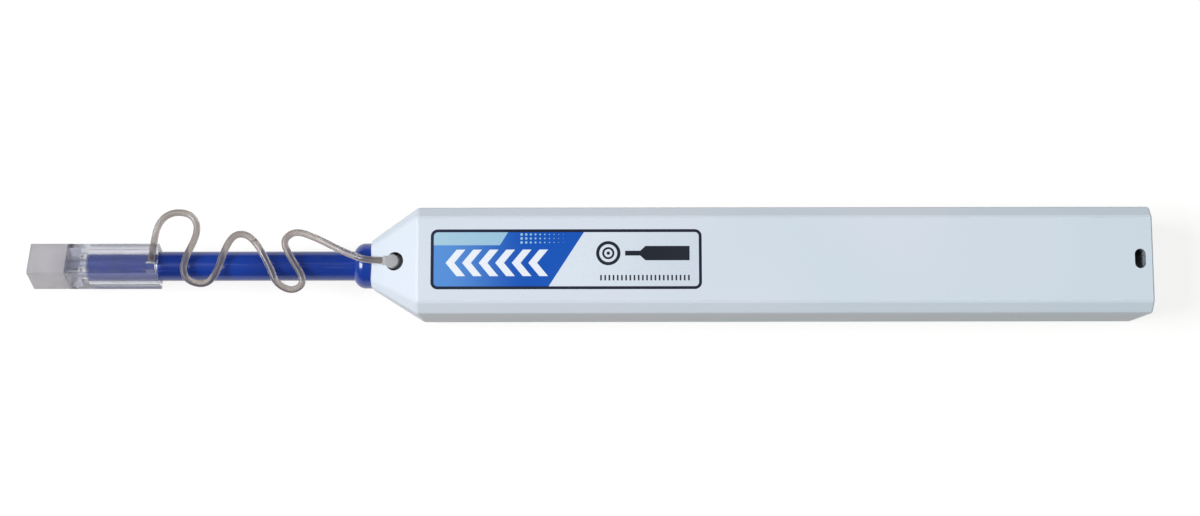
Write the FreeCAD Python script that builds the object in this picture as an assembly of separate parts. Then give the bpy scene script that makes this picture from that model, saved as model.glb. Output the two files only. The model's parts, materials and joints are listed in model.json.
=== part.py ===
"""Fibre connector cleaning pen, in millimetres.

X runs along the pen, with the cleaning tip towards -X. Y runs across it and Z is up.
The origin lies on the flat underside of the case, at the middle of its length.
Each separate piece is one file in parts/, named after the piece.
"""
import FreeCAD, Part

import math
import os

Vec = FreeCAD.Vector

# Case: octagonal tube with a tapered nose
CASE_WIDTH = 18.6
CASE_HEIGHT = 18.0
CASE_BEVEL_Y = 1.9
CASE_BEVEL_Z = 1.7
CASE_WALL = 1.4
CASE_EDGE_BEVEL = 0.25
NOSE_WIDTH = 8.2
NOSE_HEIGHT = 7.8
NOSE_BEVEL = 1.2

# Lengths along the case, from its front to its rear
TAPER_LENGTH = 8.5
FRONT_ROOM = 13.2
FRONT_BULKHEAD = 3.4
ROTOR_END_GAP = 0.2
ROTOR_END_WALL = 3.4
REAR_BULKHEAD = 2.0
THREAD_ROOM = 27.4
REEL_SPACING = 18.0
REEL_TO_REAR_WALL = 8.0
REAR_WALL = 1.2
SPRING_LENGTH = 24.8
SPRING_SEAT = 1.2
REAR_ROOM = 10.5

# Motion
PUSH_STROKE = 10.0
TIP_TURN = 180.0
TIP_GIVE = 1.5

# Clearances
RUNNING = 0.05
SLIDE_GAP = 0.3
STOP_GAP = 0.2

# Joint between the case halves
TONGUE_THICK = 0.6
TONGUE_HIGH = 0.8
DOWEL_Y = 6.6
DOWEL_POST_R = 1.6
DOWEL_R = 0.8
DOWEL_HIGH = 2.4
DOWEL_FROM_SHOULDER = 6.7
DOWEL_FROM_REAR = 6.2

# Strap slot and tether hole
STRAP_SLOT_WIDE = 1.9
STRAP_SLOT_LONG = 3.4
STRAP_SLOT_INSET = 1.3
TETHER_HOLE_R = 1.6
TETHER_HOLE_FROM_FRONT = 4.4
KNOB_R = 1.25
KNOB_PROUD = 0.66
KNOB_DOME = 0.7
KNOB_STUB_R = 0.8
KNOB_STUB_REACH = 2.0
KNOB_STUB_GAP = 0.16
KNOB_STUB_Y = 0.2

# Label
LABEL_LONG = 46.7
LABEL_WIDE = 10.4
LABEL_THICK = 0.2
LABEL_CORNER = 1.2
LABEL_FROM_SHOULDER = 2.4

# Nose bushing
COLLAR_R = 4.0
COLLAR_LENGTH = 3.1
COLLAR_FRONT_R = 2.85
COLLAR_CROWN = 1.6
COLLAR_BULGE_SHARE = 0.42
NECK_R = 3.2
NECK_LENGTH = 6.7
NECK_RING_R = 3.6
NECK_RING = 0.8
HOUSING_R = 4.3

# Nozzle tube
TUBE_R = 2.6
TUBE_BORE_R = 1.8
TUBE_REACH = 46.8
TUBE_FRONT_WALL = 1.2
TUBE_TIP_HOLE_R = 0.8
TUBE_FLANGE_R = 3.8
TUBE_FLANGE = 1.4
TUBE_SPIGOT = 1.4
TUBE_FRONT_BEVEL = 0.3

# Chassis
CHASSIS_HALF_WIDTH = 6.0
FLOOR_THICK = 1.0
RAIL_THICK = 0.8
RAIL_HIGH = 3.3
RAIL_PAST_BULKHEAD = 4.0
COVER_THICK = 1.0
COVER_ROOM = 1.0
COLUMN_R = 1.2
COLUMN_SHOULDER_R = 1.6
COLUMN_TO_REEL = 9.5
GUIDE_RIB_THICK = 0.8
GUIDE_RIB_HIGH = 1.5

# Reels and their drive
REEL_PIN_R = 1.5
TAKE_UP_R = 6.5
SUPPLY_R = 6.8
REEL_FLANGE = 0.8
REEL_HUB_R = 3.0
REEL_WINDOW_R = 1.0
REEL_WINDOWS = 3
USED_PACK_R = 3.6
SUPPLY_PACK_R = 5.0
REEL_TOP_GAP = 0.4
WASHER_HIGH = 0.4
WASHER_R = 3.0
WASHER_BORE_R = 1.7
WASHER_THICK = 0.2
GEAR_MODULE = 0.6
PINION_TEETH = 18
PINION_THICK = 2.2
PINION_SEAT_R = 2.2
PINION_SEAT_HIGH = 0.7
INVOLUTE_POINTS = 5
RACK_SPARE_TEETH = 4
RACK_OVERHANG = 0.2
GEAR_ADDENDUM = 0.5
GEAR_DEDENDUM = 0.7
GEAR_BACKLASH = 0.08
PRESSURE_ANGLE = 20.0
RATCHET_TEETH = 24
RATCHET_DEPTH = 0.4
RATCHET_TOOTH_SHARE = 0.98
PAWL_THICK = 0.2
PAWL_GAP = 0.12
PAWL_LENGTH = 5.4
PAWL_SIDE_GAP = 0.1
PAWL_ANGLE = 135.0

# Rotor and its cam
ROTOR_R = 3.7
JOURNAL_R = 2.4
BEARING_R = 3.0
GROOVE_FLOOR_R = 2.5
GROOVE_WIDTH = 3.0
GROOVE_OVERRUN = 25.0
CUTTER_OVERSIZE = 0.5
FOLLOWER_R = 0.8
FOLLOWER_GAP = 0.1
FOLLOWER_BOSS_R = 1.7
FOLLOWER_BOSS_GAP = 0.5
THREAD_HOLE_R = 0.7

# Spindle and cleaning tip
SPINDLE_R = 1.6
SPINDLE_BORE_R = 0.9
DRIVE_FLAT = 1.25
DRIVE_FLAT_LENGTH = 5.5
SPINDLE_IN_ROTOR = 3.4
SPINDLE_END_GAP = 0.3
TIP_SPRING_LENGTH = 8.0
TIP_R = 0.6
TIP_REACH = 3.2
TIP_BARE = 2.9
TIP_SHANK_R = 0.76
TIP_SHANK_LENGTH = 3.4
TIP_BODY_R = 1.55
TIP_BODY_LENGTH = 4.5
TIP_SPIGOT_LENGTH = 2.0
TIP_BORE_R = 0.62
TIP_FACE_WALL = 0.5
TIP_GROOVE = 0.3
TIP_GROOVE_FLOOR = 0.33
TIP_GROOVE_RUN_IN = 2.0

# Cleaning thread
THREAD_R = 0.125
THREAD_HALF_GAP = 0.35
THREAD_AT_TIP = 0.46
THREAD_SPREADS_AT = 0.8
THREAD_TURN_R = 0.625
THREAD_TIP_TURN_R = 0.2
THREAD_SIDES = 6
THREAD_PIN_R = 0.5
THREAD_PIN_X = 18.0
THREAD_PIN_Y = 1.0
THREAD_PIN_REACH = 1.5
THREAD_PAST_COLUMN = 1.0

# Springs
WIRE_SIDES = 4
RETURN_WIRE_R = 0.3
RETURN_COIL_R = 4.0
RETURN_TURNS = 7
SPIGOT_R = 3.0
SPIGOT_LENGTH = 3.0
TIP_WIRE_R = 0.13
TIP_COIL_R = 1.1
TIP_TURNS = 4

# Guide cap and lid, square in section and turned about the nozzle
CAP_SIDE = 6.0
CAP_TURN = -23.0
CAP_LENGTH = 16.1
CAP_FRONT_FROM_TUBE = 3.8
CAP_WEB = 1.2
CAP_RECESS = 4.6
CAP_EDGE_ROUND = 0.25
FERRULE_BORE_R = 0.635
FERRULE_BORE_LENGTH = 2.7
FERRULE_SLEEVE_R = 1.58
FERRULE_SLEEVE_REACH = 2.6
TIP_CLEARANCE_R = 1.2
LID_LENGTH = 6.5
LID_WALL = 0.7
LID_FRONT_WALL = 0.8
HINGE_DROP = 0.85
KNUCKLE_R = 0.7
HINGE_PIN_R = 0.35
KNUCKLE_HALF = 0.95
KNUCKLE_GAP = 0.1
KNUCKLE_LONG = 0.9
HINGE_WEB = 1.1
LUG_LONG = 1.6
LUG_HIGH = 1.5
LUG_FROM_SIDE = 1.5135
LUG_ROUND = 0.3

# Share of a straight run that an arc at its end may take
ARC_SHARE = 0.45

# Tether: hand-laid route from the cap's lug to the knob in the case
TETHER_R = 0.6
TETHER_SIDES = 8
TETHER_ROUTE = (
    (-106.1, 0.10, 13.04),
    (-106.1, 2.77, 11.91),
    (-105.3, 7.4, 12.1),
    (-102.6, 9.3, 12.4),
    (-99.0, 8.7, 12.5),
    (-97.9, 5.6, 12.7),
    (-100.6, 0.3, 12.8),
    (-100.3, -2.7, 12.7),
    (-97.0, -3.9, 12.6),
    (-94.8, -2.2, 12.7),
    (-93.2, 3.0, 12.8),
    (-91.4, 5.5, 12.6),
    (-88.4, 4.7, 12.7),
    (-85.2, -0.8, 12.8),
    (-84.3, -3.5, 12.7),
    (-81.3, -5.0, 12.6),
    (-79.0, -3.2, 12.7),
    (-82.0, 1.4, 12.8),
    (-83.2, 4.1, 12.9),
    (-80.9, 5.8, 13.0),
    (-77.0, 4.3, 13.4),
    (-73.6, 2.5, 14.0),
    (-70.6, 1.1, 14.8),
    (-68.1, 0.2, 15.3),
    (-65.3, 0.2, 15.3),
)

# Places along X
ROTOR_LENGTH = PUSH_STROKE + 2 * ROTOR_END_WALL
CASE_LENGTH = (
    TAPER_LENGTH + FRONT_ROOM + FRONT_BULKHEAD + ROTOR_LENGTH + 2 * ROTOR_END_GAP
    + REAR_BULKHEAD + THREAD_ROOM + REEL_SPACING + REEL_TO_REAR_WALL + REAR_WALL
    + SPRING_LENGTH + SPRING_SEAT + REAR_ROOM
)
FRONT_X = -CASE_LENGTH / 2
REAR_X = CASE_LENGTH / 2
SHOULDER_X = FRONT_X + TAPER_LENGTH
CHASSIS_X = SHOULDER_X + FRONT_ROOM
BEARING_X = CHASSIS_X + TUBE_SPIGOT
ROTOR_X = CHASSIS_X + FRONT_BULKHEAD + ROTOR_END_GAP
ROTOR_REAR_X = ROTOR_X + ROTOR_LENGTH
FOLLOWER_X = ROTOR_REAR_X - ROTOR_END_WALL
REAR_BULKHEAD_X = ROTOR_REAR_X + ROTOR_END_GAP
TAKE_UP_X = REAR_BULKHEAD_X + REAR_BULKHEAD + THREAD_ROOM
SUPPLY_X = TAKE_UP_X + REEL_SPACING
REAR_WALL_X = SUPPLY_X + REEL_TO_REAR_WALL
SPRING_X = REAR_WALL_X + REAR_WALL
SEAT_X = SPRING_X + SPRING_LENGTH
COLLAR_X = FRONT_X - COLLAR_LENGTH
TUBE_X = COLLAR_X - TUBE_REACH
COLUMN_X = TAKE_UP_X - COLUMN_TO_REEL
SPINDLE_REAR_X = ROTOR_X - ROTOR_END_GAP + SPINDLE_IN_ROTOR - TIP_GIVE - SPINDLE_END_GAP
TIP_X = TUBE_X - TIP_REACH
TIP_BODY_X = TIP_X + TIP_BARE + TIP_SHANK_LENGTH
SPINDLE_X = TIP_BODY_X + TIP_BODY_LENGTH
CAP_FRONT_X = TUBE_X - CAP_FRONT_FROM_TUBE
CAP_REAR_X = CAP_FRONT_X + CAP_LENGTH
WEB_X = TUBE_X - STOP_GAP
RECESS_X = WEB_X - CAP_WEB
LID_FRONT_X = CAP_FRONT_X - LID_LENGTH

# Places in Y and Z
AXIS_Z = CASE_HEIGHT / 2
INNER_HALF_WIDTH = CASE_WIDTH / 2 - CASE_WALL
CEILING_Z = CASE_HEIGHT - CASE_WALL
FLOOR_Z = CASE_WALL + SLIDE_GAP
FLOOR_TOP_Z = FLOOR_Z + FLOOR_THICK
PINION_Z = FLOOR_TOP_Z + PINION_SEAT_HIGH
REEL_Z = PINION_Z + PINION_THICK + WASHER_HIGH
COVER_Z = CEILING_Z - COVER_ROOM - COVER_THICK
REEL_TOP_Z = COVER_Z - REEL_TOP_GAP
PITCH_R = GEAR_MODULE * PINION_TEETH / 2
THREAD_Y = -(TAKE_UP_R + INNER_HALF_WIDTH) / 2
HINGE_Z = -(CAP_SIDE / 2 + HINGE_DROP)


def box(x0, x1, y0, y1, z0, z1):
    """Block between three pairs of faces."""
    return Part.makeBox(x1 - x0, y1 - y0, z1 - z0, Vec(x0, y0, z0))


def rod(x0, x1, radius, y=0.0, z=AXIS_Z):
    """Round bar along X."""
    return Part.makeCylinder(radius, x1 - x0, Vec(x0, y, z), Vec(1, 0, 0))


def post(x, y, z0, z1, radius):
    """Round bar along Z."""
    return Part.makeCylinder(radius, z1 - z0, Vec(x, y, z0))


def fuse(first, *others):
    """One solid from several that touch or overlap."""
    return first.multiFuse(list(others)).removeSplitter()


def cut(body, *tools):
    """The body without the tools."""
    return body.cut(list(tools))


def turned(points, origin, axis):
    """Solid of revolution: points are (radius, along), both measured from the origin."""
    ahead = Vec(*axis)
    aside = Vec(0, 0, 1) if abs(ahead.z) < 0.5 else Vec(1, 0, 0)
    corners = [Vec(*origin) + aside * r + ahead * a for r, a in points]
    face = Part.Face(Part.makePolygon(corners + corners[:1]))
    return face.revolve(Vec(*origin), ahead, 360)


def octagon(x, half_width, half_height, bevel):
    """Corners of the case's section: a rectangle with four bevels of one slope."""
    bevel_z = bevel * CASE_BEVEL_Z / CASE_BEVEL_Y
    flat_y = half_width - bevel
    flat_z = half_height - bevel_z
    quarter = [(half_width, flat_z), (flat_y, half_height)]
    left = [(-y, z) for y, z in reversed(quarter)]
    below = [(-y, -z) for y, z in quarter + left]
    return [Vec(x, y, AXIS_Z + z) for y, z in quarter + left + below]


def faceted(sections):
    """Solid with flat sides through sections that have the same number of corners."""
    loops = [sections[0][::-1], sections[-1]]
    for near, far in zip(sections, sections[1:]):
        for i in range(len(near)):
            j = (i + 1) % len(near)
            loops.append([near[i], near[j], far[j], far[i]])
    faces = [Part.Face(Part.makePolygon(loop + loop[:1])) for loop in loops]
    return Part.Solid(Part.Shell(faces))


def case_form(inset=0.0):
    """Octagonal form of the case, drawn in by inset on every side."""
    slope_y = (CASE_WIDTH - NOSE_WIDTH) / 2 / TAPER_LENGTH
    slope_z = (CASE_HEIGHT - NOSE_HEIGHT) / 2 / TAPER_LENGTH
    lean_y = inset * math.hypot(1, slope_y)
    lean_z = inset * math.hypot(1, slope_z)
    bevel_loss = inset * (2 - math.sqrt(2))
    front_width = NOSE_WIDTH / 2 + slope_y * inset - lean_y
    front_height = NOSE_HEIGHT / 2 + slope_z * inset - lean_z
    half_width = CASE_WIDTH / 2 - inset
    half_height = CASE_HEIGHT / 2 - inset
    bevel = CASE_BEVEL_Y - bevel_loss
    shoulder = SHOULDER_X + (lean_y - inset) / slope_y
    return faceted([
        octagon(FRONT_X + inset, front_width, front_height, NOSE_BEVEL - bevel_loss),
        octagon(shoulder, half_width, half_height, bevel),
        octagon(REAR_X - inset, half_width, half_height, bevel),
    ])


def obround(x, y, wide, long, z0, z1):
    """Slot with round ends, long across the pen."""
    radius = wide / 2
    reach = long / 2 - radius
    middle = box(x - radius, x + radius, y - reach, y + reach, z0, z1)
    ends = [post(x, y + side * reach, z0, z1, radius) for side in (-1, 1)]
    return fuse(middle, *ends)


def rounded_plate(x0, x1, half_width, z0, z1, corner):
    """Plate with round corners, as the label and its recess."""
    plate = box(x0, x1, -half_width, half_width, z0, z1)
    upright = [e for e in plate.Edges if abs(e.tangentAt(e.FirstParameter).z) > 0.9]
    return plate.makeFillet(corner, upright)


def label_plate():
    """The label, let into the top of the case."""
    x0 = SHOULDER_X + LABEL_FROM_SHOULDER
    z0 = CASE_HEIGHT - LABEL_THICK
    return rounded_plate(x0, x0 + LABEL_LONG, LABEL_WIDE / 2, z0, CASE_HEIGHT, LABEL_CORNER)


def dowel_places():
    """Where the two case halves are pinned together."""
    for x in (SHOULDER_X + DOWEL_FROM_SHOULDER, REAR_X - DOWEL_FROM_REAR):
        for y in (-DOWEL_Y, DOWEL_Y):
            yield x, y


def bushing_bore():
    """Seat of the nose bushing: its neck and the ring that holds it."""
    neck = rod(FRONT_X, FRONT_X + NECK_LENGTH, NECK_R)
    ring_x = FRONT_X + NECK_LENGTH - 2 * NECK_RING
    ring = rod(ring_x, ring_x + NECK_RING, NECK_RING_R)
    through = rod(FRONT_X, SHOULDER_X, TUBE_R + SLIDE_GAP)
    return fuse(neck, ring, through)


def tongue(inset, high, end_gap):
    """Band inside the joint line, by which the two halves find each other."""
    band = cut(case_form(CASE_WALL - inset), case_form(CASE_WALL))
    x0 = SHOULDER_X + TONGUE_THICK - end_gap
    x1 = REAR_X - CASE_WALL + TONGUE_THICK + end_gap
    width = CASE_WIDTH / 2
    return band.common(box(x0, x1, -width, width, AXIS_Z, AXIS_Z + high))


def tongue_belt(extra):
    """The tongue with its room: extra is 0 for the tongue and a clearance for the rebate."""
    return tongue(TONGUE_THICK + extra, TONGUE_HIGH + extra, extra)


def case_shell():
    """Both halves of the case in one: walls, nose block and spring seat."""
    outer = case_form()
    outer = outer.makeChamfer(CASE_EDGE_BEVEL, outer.Edges)
    shell = outer.cut(case_form(CASE_WALL))
    housing = rod(FRONT_X, SHOULDER_X, HOUSING_R).common(case_form(CASE_WALL / 2))
    width = CASE_WIDTH
    seat = box(SEAT_X, SEAT_X + SPRING_SEAT, -width, width, 0, CASE_HEIGHT)
    seat = seat.common(case_form(CASE_WALL / 2))
    spigot = rod(SEAT_X - SPIGOT_LENGTH, SEAT_X, SPIGOT_R)
    slot_x = REAR_X - STRAP_SLOT_INSET - STRAP_SLOT_WIDE / 2
    slot = obround(slot_x, 0, STRAP_SLOT_WIDE, STRAP_SLOT_LONG, 0, CASE_HEIGHT)
    return cut(fuse(shell, housing, seat, spigot), bushing_bore(), slot)


def half(shell, upper):
    """The part of the shell above or below the joint plane."""
    z0 = AXIS_Z if upper else -1
    z1 = CASE_HEIGHT + 1 if upper else AXIS_Z
    return shell.common(box(FRONT_X - 1, REAR_X + 1, -CASE_WIDTH, CASE_WIDTH, z0, z1))


def rack():
    """Rack along the side wall, which turns the pinion as the case slides."""
    pitch = math.pi * GEAR_MODULE
    count = math.ceil(PUSH_STROKE / pitch) + RACK_SPARE_TEETH
    slant = math.tan(math.radians(PRESSURE_ANGLE))
    at_pitch = (pitch - GEAR_BACKLASH) / 4
    tip = at_pitch - GEAR_ADDENDUM * slant
    root = at_pitch + GEAR_DEDENDUM * slant
    tip_y = -PITCH_R + GEAR_ADDENDUM
    root_y = -PITCH_R - GEAR_DEDENDUM
    first = TAKE_UP_X - RACK_SPARE_TEETH / 2 * pitch
    outline = [Vec(first - pitch / 2, -INNER_HALF_WIDTH - CASE_WALL / 2, 0)]
    outline.append(Vec(first - pitch / 2, root_y, 0))
    for i in range(count):
        x = first + i * pitch
        profile = ((-root, root_y), (-tip, tip_y), (tip, tip_y), (root, root_y))
        outline += [Vec(x + dx, y, 0) for dx, y in profile]
    last = first + (count - 0.5) * pitch
    outline += [Vec(last, root_y, 0), Vec(last, -INNER_HALF_WIDTH - CASE_WALL / 2, 0)]
    face = Part.Face(Part.makePolygon(outline + outline[:1]))
    face.translate(Vec(0, 0, PINION_Z - RACK_OVERHANG))
    return face.extrude(Vec(0, 0, PINION_THICK + 2 * RACK_OVERHANG))


def case_lower():
    """Lower half of the case, with guide ribs, stop, rack and dowels."""
    body = half(case_shell(), upper=False)
    inside = case_form(CASE_WALL / 2)
    rib_y = CHASSIS_HALF_WIDTH + SLIDE_GAP
    added = [tongue_belt(0.0), rack()]
    for side in (-1, 1):
        near, far = sorted((side * rib_y, side * (rib_y + GUIDE_RIB_THICK)))
        rib = box(CHASSIS_X, SEAT_X, near, far, CASE_WALL / 2, CASE_WALL + GUIDE_RIB_HIGH)
        added.append(rib)
    stop_x = CHASSIS_X - TUBE_FLANGE - STOP_GAP
    stop = box(stop_x - CASE_WALL, stop_x, -CASE_WIDTH, CASE_WIDTH, 0, AXIS_Z)
    stop = cut(stop.common(inside), rod(stop_x - CASE_WALL, stop_x, TUBE_R + SLIDE_GAP))
    added.append(stop)
    for x, y in dowel_places():
        added.append(post(x, y, CASE_WALL / 2, AXIS_Z, DOWEL_POST_R).common(inside))
        added.append(post(x, y, AXIS_Z, AXIS_Z + DOWEL_HIGH, DOWEL_R))
    return fuse(body, *added)


def case_upper():
    """Upper half of the case, with label recess, tether hole and follower boss."""
    body = half(case_shell(), upper=True)
    inside = case_form(CASE_WALL / 2)
    top = CASE_HEIGHT - CASE_WALL / 2
    sockets = [post(x, y, AXIS_Z, top, DOWEL_POST_R).common(inside) for x, y in dowel_places()]
    boss_z = AXIS_Z + ROTOR_R + FOLLOWER_BOSS_GAP
    boss = post(FOLLOWER_X, 0, boss_z, top, FOLLOWER_BOSS_R)
    holes = [post(x, y, AXIS_Z, AXIS_Z + DOWEL_HIGH + SLIDE_GAP, DOWEL_R + RUNNING)
             for x, y in dowel_places()]
    holes.append(post(FOLLOWER_X, 0, boss_z, CEILING_Z, FOLLOWER_R))
    holes.append(post(*tether_hole(), CASE_HEIGHT, TETHER_HOLE_R))
    holes.append(tongue_belt(RUNNING))
    holes.append(label_plate())
    return cut(fuse(body, boss, *sockets), *holes)


def tether_hole():
    """Centre of the tether hole and the height of its floor."""
    return FRONT_X + TETHER_HOLE_FROM_FRONT, 0, AXIS_Z + HOUSING_R - SLIDE_GAP


def nose_top(x):
    """Height of the nose's upper face at a place along the pen."""
    slope = (CASE_HEIGHT - NOSE_HEIGHT) / 2 / TAPER_LENGTH
    return AXIS_Z + NOSE_HEIGHT / 2 + slope * (x - FRONT_X)


def tether_knob():
    """Knob on the tether's end, pressed into the hole in the nose."""
    hole_x, _, floor = tether_hole()
    x = hole_x - TETHER_HOLE_R + KNOB_R
    top = nose_top(hole_x) + KNOB_PROUD
    shoulder = top - KNOB_DOME
    stem = post(x, 0, floor, shoulder, KNOB_R)
    dome = Part.makeSphere(KNOB_R, Vec(x, 0, shoulder))
    dome = dome.common(box(x - KNOB_R, x + KNOB_R, -KNOB_R, KNOB_R, shoulder, top))
    stub_x = hole_x - KNOB_STUB_REACH
    stub_z = nose_top(stub_x) + KNOB_STUB_GAP + KNOB_STUB_R
    return fuse(stem, dome, rod(stub_x, x, KNOB_STUB_R, KNOB_STUB_Y, stub_z))


def nose_bushing():
    """Blue collar with a crowned front, in which the nozzle tube slides."""
    crown_x = COLLAR_X + COLLAR_CROWN
    start = Vec(COLLAR_X, 0, COLLAR_FRONT_R)
    end = Vec(crown_x, 0, COLLAR_R)
    bulge = Vec(COLLAR_X + COLLAR_CROWN * COLLAR_BULGE_SHARE, 0, (COLLAR_FRONT_R + 2 * COLLAR_R) / 3)
    arc = Part.Arc(start, bulge, end).toShape()
    rest = Part.makePolygon([end, Vec(FRONT_X, 0, COLLAR_R), Vec(FRONT_X, 0, 0),
                             Vec(COLLAR_X, 0, 0), start])
    face = Part.Face(Part.Wire([arc] + rest.Edges))
    face.translate(Vec(0, 0, AXIS_Z))
    collar = face.revolve(Vec(0, 0, AXIS_Z), Vec(1, 0, 0), 360)
    neck = rod(FRONT_X, FRONT_X + NECK_LENGTH, NECK_R)
    ring_x = FRONT_X + NECK_LENGTH - 2 * NECK_RING
    ring = rod(ring_x, ring_x + NECK_RING, NECK_RING_R)
    bore = rod(COLLAR_X, SHOULDER_X, TUBE_R + RUNNING)
    return cut(fuse(collar, neck, ring), bore)


def cam_follower():
    """Steel pin that runs in the rotor's groove."""
    return post(FOLLOWER_X, 0, AXIS_Z + GROOVE_FLOOR_R + FOLLOWER_GAP, CEILING_Z, FOLLOWER_R)


def nozzle_tube():
    """Blue tube with a closed front, a flange and a spigot for the chassis."""
    outer = rod(TUBE_X, BEARING_X, TUBE_R)
    rim = [e for e in outer.Edges if e.BoundBox.XMax < TUBE_X + 0.01]
    outer = outer.makeChamfer(TUBE_FRONT_BEVEL, rim)
    flange = rod(CHASSIS_X - TUBE_FLANGE, CHASSIS_X, TUBE_FLANGE_R)
    bore = rod(TUBE_X + TUBE_FRONT_WALL, BEARING_X, TUBE_BORE_R)
    hole = rod(TUBE_X, TUBE_X + TUBE_FRONT_WALL, TUBE_TIP_HOLE_R)
    return cut(fuse(outer, flange), bore, hole)


def bulkhead(x0, x1):
    """Wall of the chassis that follows the inside of the case."""
    half_width = CHASSIS_HALF_WIDTH
    block = box(x0, x1, -half_width, half_width, FLOOR_Z, CEILING_Z - SLIDE_GAP)
    return block.common(case_form(CASE_WALL + SLIDE_GAP))


def chassis():
    """Moulded frame that carries the nozzle, rotor, reels and return spring."""
    half_width = CHASSIS_HALF_WIDTH
    rear_bulkhead_end = REAR_BULKHEAD_X + REAR_BULKHEAD
    floor = box(CHASSIS_X, SPRING_X, -half_width, half_width, FLOOR_Z, FLOOR_TOP_Z)
    pieces = [
        bulkhead(CHASSIS_X, CHASSIS_X + FRONT_BULKHEAD),
        bulkhead(REAR_BULKHEAD_X, rear_bulkhead_end),
        bulkhead(REAR_WALL_X, SPRING_X),
        rod(SPRING_X, SPRING_X + SPIGOT_LENGTH, SPIGOT_R),
        post(TAKE_UP_X, 0, FLOOR_TOP_Z, PINION_Z - RUNNING, PINION_SEAT_R),
        post(SUPPLY_X, 0, FLOOR_TOP_Z, REEL_Z - WASHER_HIGH, WASHER_R),
        post(COLUMN_X, 0, FLOOR_TOP_Z, REEL_Z, COLUMN_SHOULDER_R),
        post(COLUMN_X, 0, FLOOR_TOP_Z, COVER_Z, COLUMN_R),
    ]
    for x in (TAKE_UP_X, SUPPLY_X):
        pieces.append(post(x, 0, FLOOR_TOP_Z, COVER_Z + COVER_THICK, REEL_PIN_R))
    rail_z = FLOOR_TOP_Z + RAIL_HIGH
    rail_end = rear_bulkhead_end + RAIL_PAST_BULKHEAD
    for y in (-half_width, half_width - RAIL_THICK):
        pieces.append(box(CHASSIS_X, rail_end, y, y + RAIL_THICK, FLOOR_Z, rail_z))
    seats = [
        rod(CHASSIS_X, BEARING_X, TUBE_R),
        rod(BEARING_X, CHASSIS_X + FRONT_BULKHEAD, BEARING_R),
        rod(REAR_BULKHEAD_X, rear_bulkhead_end, BEARING_R),
    ]
    return cut(fuse(floor, *pieces), *seats, *thread_pins()[2:])


def reel_cover():
    """Plate over both reels, held by their pins and the column."""
    edge = INNER_HALF_WIDTH - SLIDE_GAP
    plate = box(COLUMN_X - COLUMN_R, SPRING_X, -edge, edge, COVER_Z, COVER_Z + COVER_THICK)
    plate = plate.common(case_form(CASE_WALL + SLIDE_GAP))
    wall_end = bulkhead(REAR_WALL_X, SPRING_X)
    pins = [post(x, 0, COVER_Z, COVER_Z + COVER_THICK, REEL_PIN_R) for x in (TAKE_UP_X, SUPPLY_X)]
    return cut(plate, wall_end, *pins, *thread_pins()[:2])


def thread_corners(side):
    """Corners of one half of the thread: -1 comes from the supply reel, 1 goes to the take-up."""
    far = (REAR_BULKHEAD_X + REAR_BULKHEAD, side * THREAD_HALF_GAP)
    middle = (TAKE_UP_X - THREAD_PIN_X, side * THREAD_PIN_Y)
    if side > 0:
        return [(TAKE_UP_X, USED_PACK_R + THREAD_R), middle, far]
    beside = [(TAKE_UP_X + REEL_SPACING / 2, THREAD_Y), (COLUMN_X + THREAD_PAST_COLUMN, THREAD_Y)]
    return [(SUPPLY_X, -SUPPLY_PACK_R - THREAD_R)] + beside + [middle, far]


def thread_pins():
    """Four pins that lead the thread: two under the cover, two on the chassis."""
    reach = THREAD_TURN_R + RUNNING
    supply = thread_corners(-1)
    low = AXIS_Z - THREAD_PIN_REACH
    pins = [post(x, y + reach, low, COVER_Z + COVER_THICK, THREAD_PIN_R) for x, y in supply[1:3]]
    x, y = supply[3]
    high = AXIS_Z + THREAD_PIN_REACH
    for side in (-1, 1):
        pins.append(post(x, side * (THREAD_PIN_Y + reach), FLOOR_Z, high, THREAD_PIN_R))
    return pins


def bearing(x0, x1):
    """Plain sleeve in which a journal of the rotor turns."""
    return cut(rod(x0, x1, BEARING_R), rod(x0, x1, JOURNAL_R + RUNNING))


def route_wire(points, bend=None):
    """Straight runs joined by tangent arcs. Each arc is as large as its runs allow, or bend."""
    corners = [Vec(*p) for p in points]
    edges = []
    radii = []
    here = corners[0]
    for before, at, after in zip(corners, corners[1:], corners[2:]):
        way_in = (before - at).normalize()
        way_out = (after - at).normalize()
        half_turn = (math.pi - way_in.getAngle(way_out)) / 2
        room = ARC_SHARE * min((before - at).Length, (after - at).Length)
        radius = bend or room / math.tan(half_turn)
        back = radius * math.tan(half_turn)
        radii.append(radius)
        start = at + way_in * back
        end = at + way_out * back
        inward = (way_in + way_out).normalize()
        middle = at + inward * (radius / math.cos(half_turn) - radius)
        edges.append(Part.LineSegment(here, start).toShape())
        edges.append(Part.Arc(start, middle, end).toShape())
        here = end
    edges.append(Part.LineSegment(here, corners[-1]).toShape())
    return Part.Wire(edges), radii


def facet_ring(radius, sides, centre, ahead):
    """Section of a fine strand or wire: a polygon around the way ahead."""
    ahead = Vec(*ahead).normalize()
    across = ahead.cross(Vec(0, 0, 1)).normalize()
    up = across.cross(ahead)
    corners = []
    for i in range(sides):
        angle = 2 * math.pi * (i + 0.5) / sides
        corners.append(centre + across * (radius * math.cos(angle)) + up * (radius * math.sin(angle)))
    return Part.makePolygon(corners + corners[:1])


def route_strand(points, radius, bend):
    """Fine strand along a flat route, with tangent arcs of one radius."""
    wire, _ = route_wire(points, bend)
    start = Vec(*points[0])
    ring = facet_ring(radius, THREAD_SIDES, start, Vec(*points[1]) - start)
    return wire.makePipeShell([ring], True, False)


def thread_run():
    """Both halves of the cleaning thread, between the reels and the spindle."""
    halves = []
    for side in (-1, 1):
        points = [(x, y, AXIS_Z) for x, y in thread_corners(side)]
        points.append((SPINDLE_X - TIP_SPIGOT_LENGTH, side * THREAD_HALF_GAP, AXIS_Z))
        halves.append(route_strand(points, THREAD_R, THREAD_TURN_R))
    return Part.makeCompound(halves)


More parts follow.
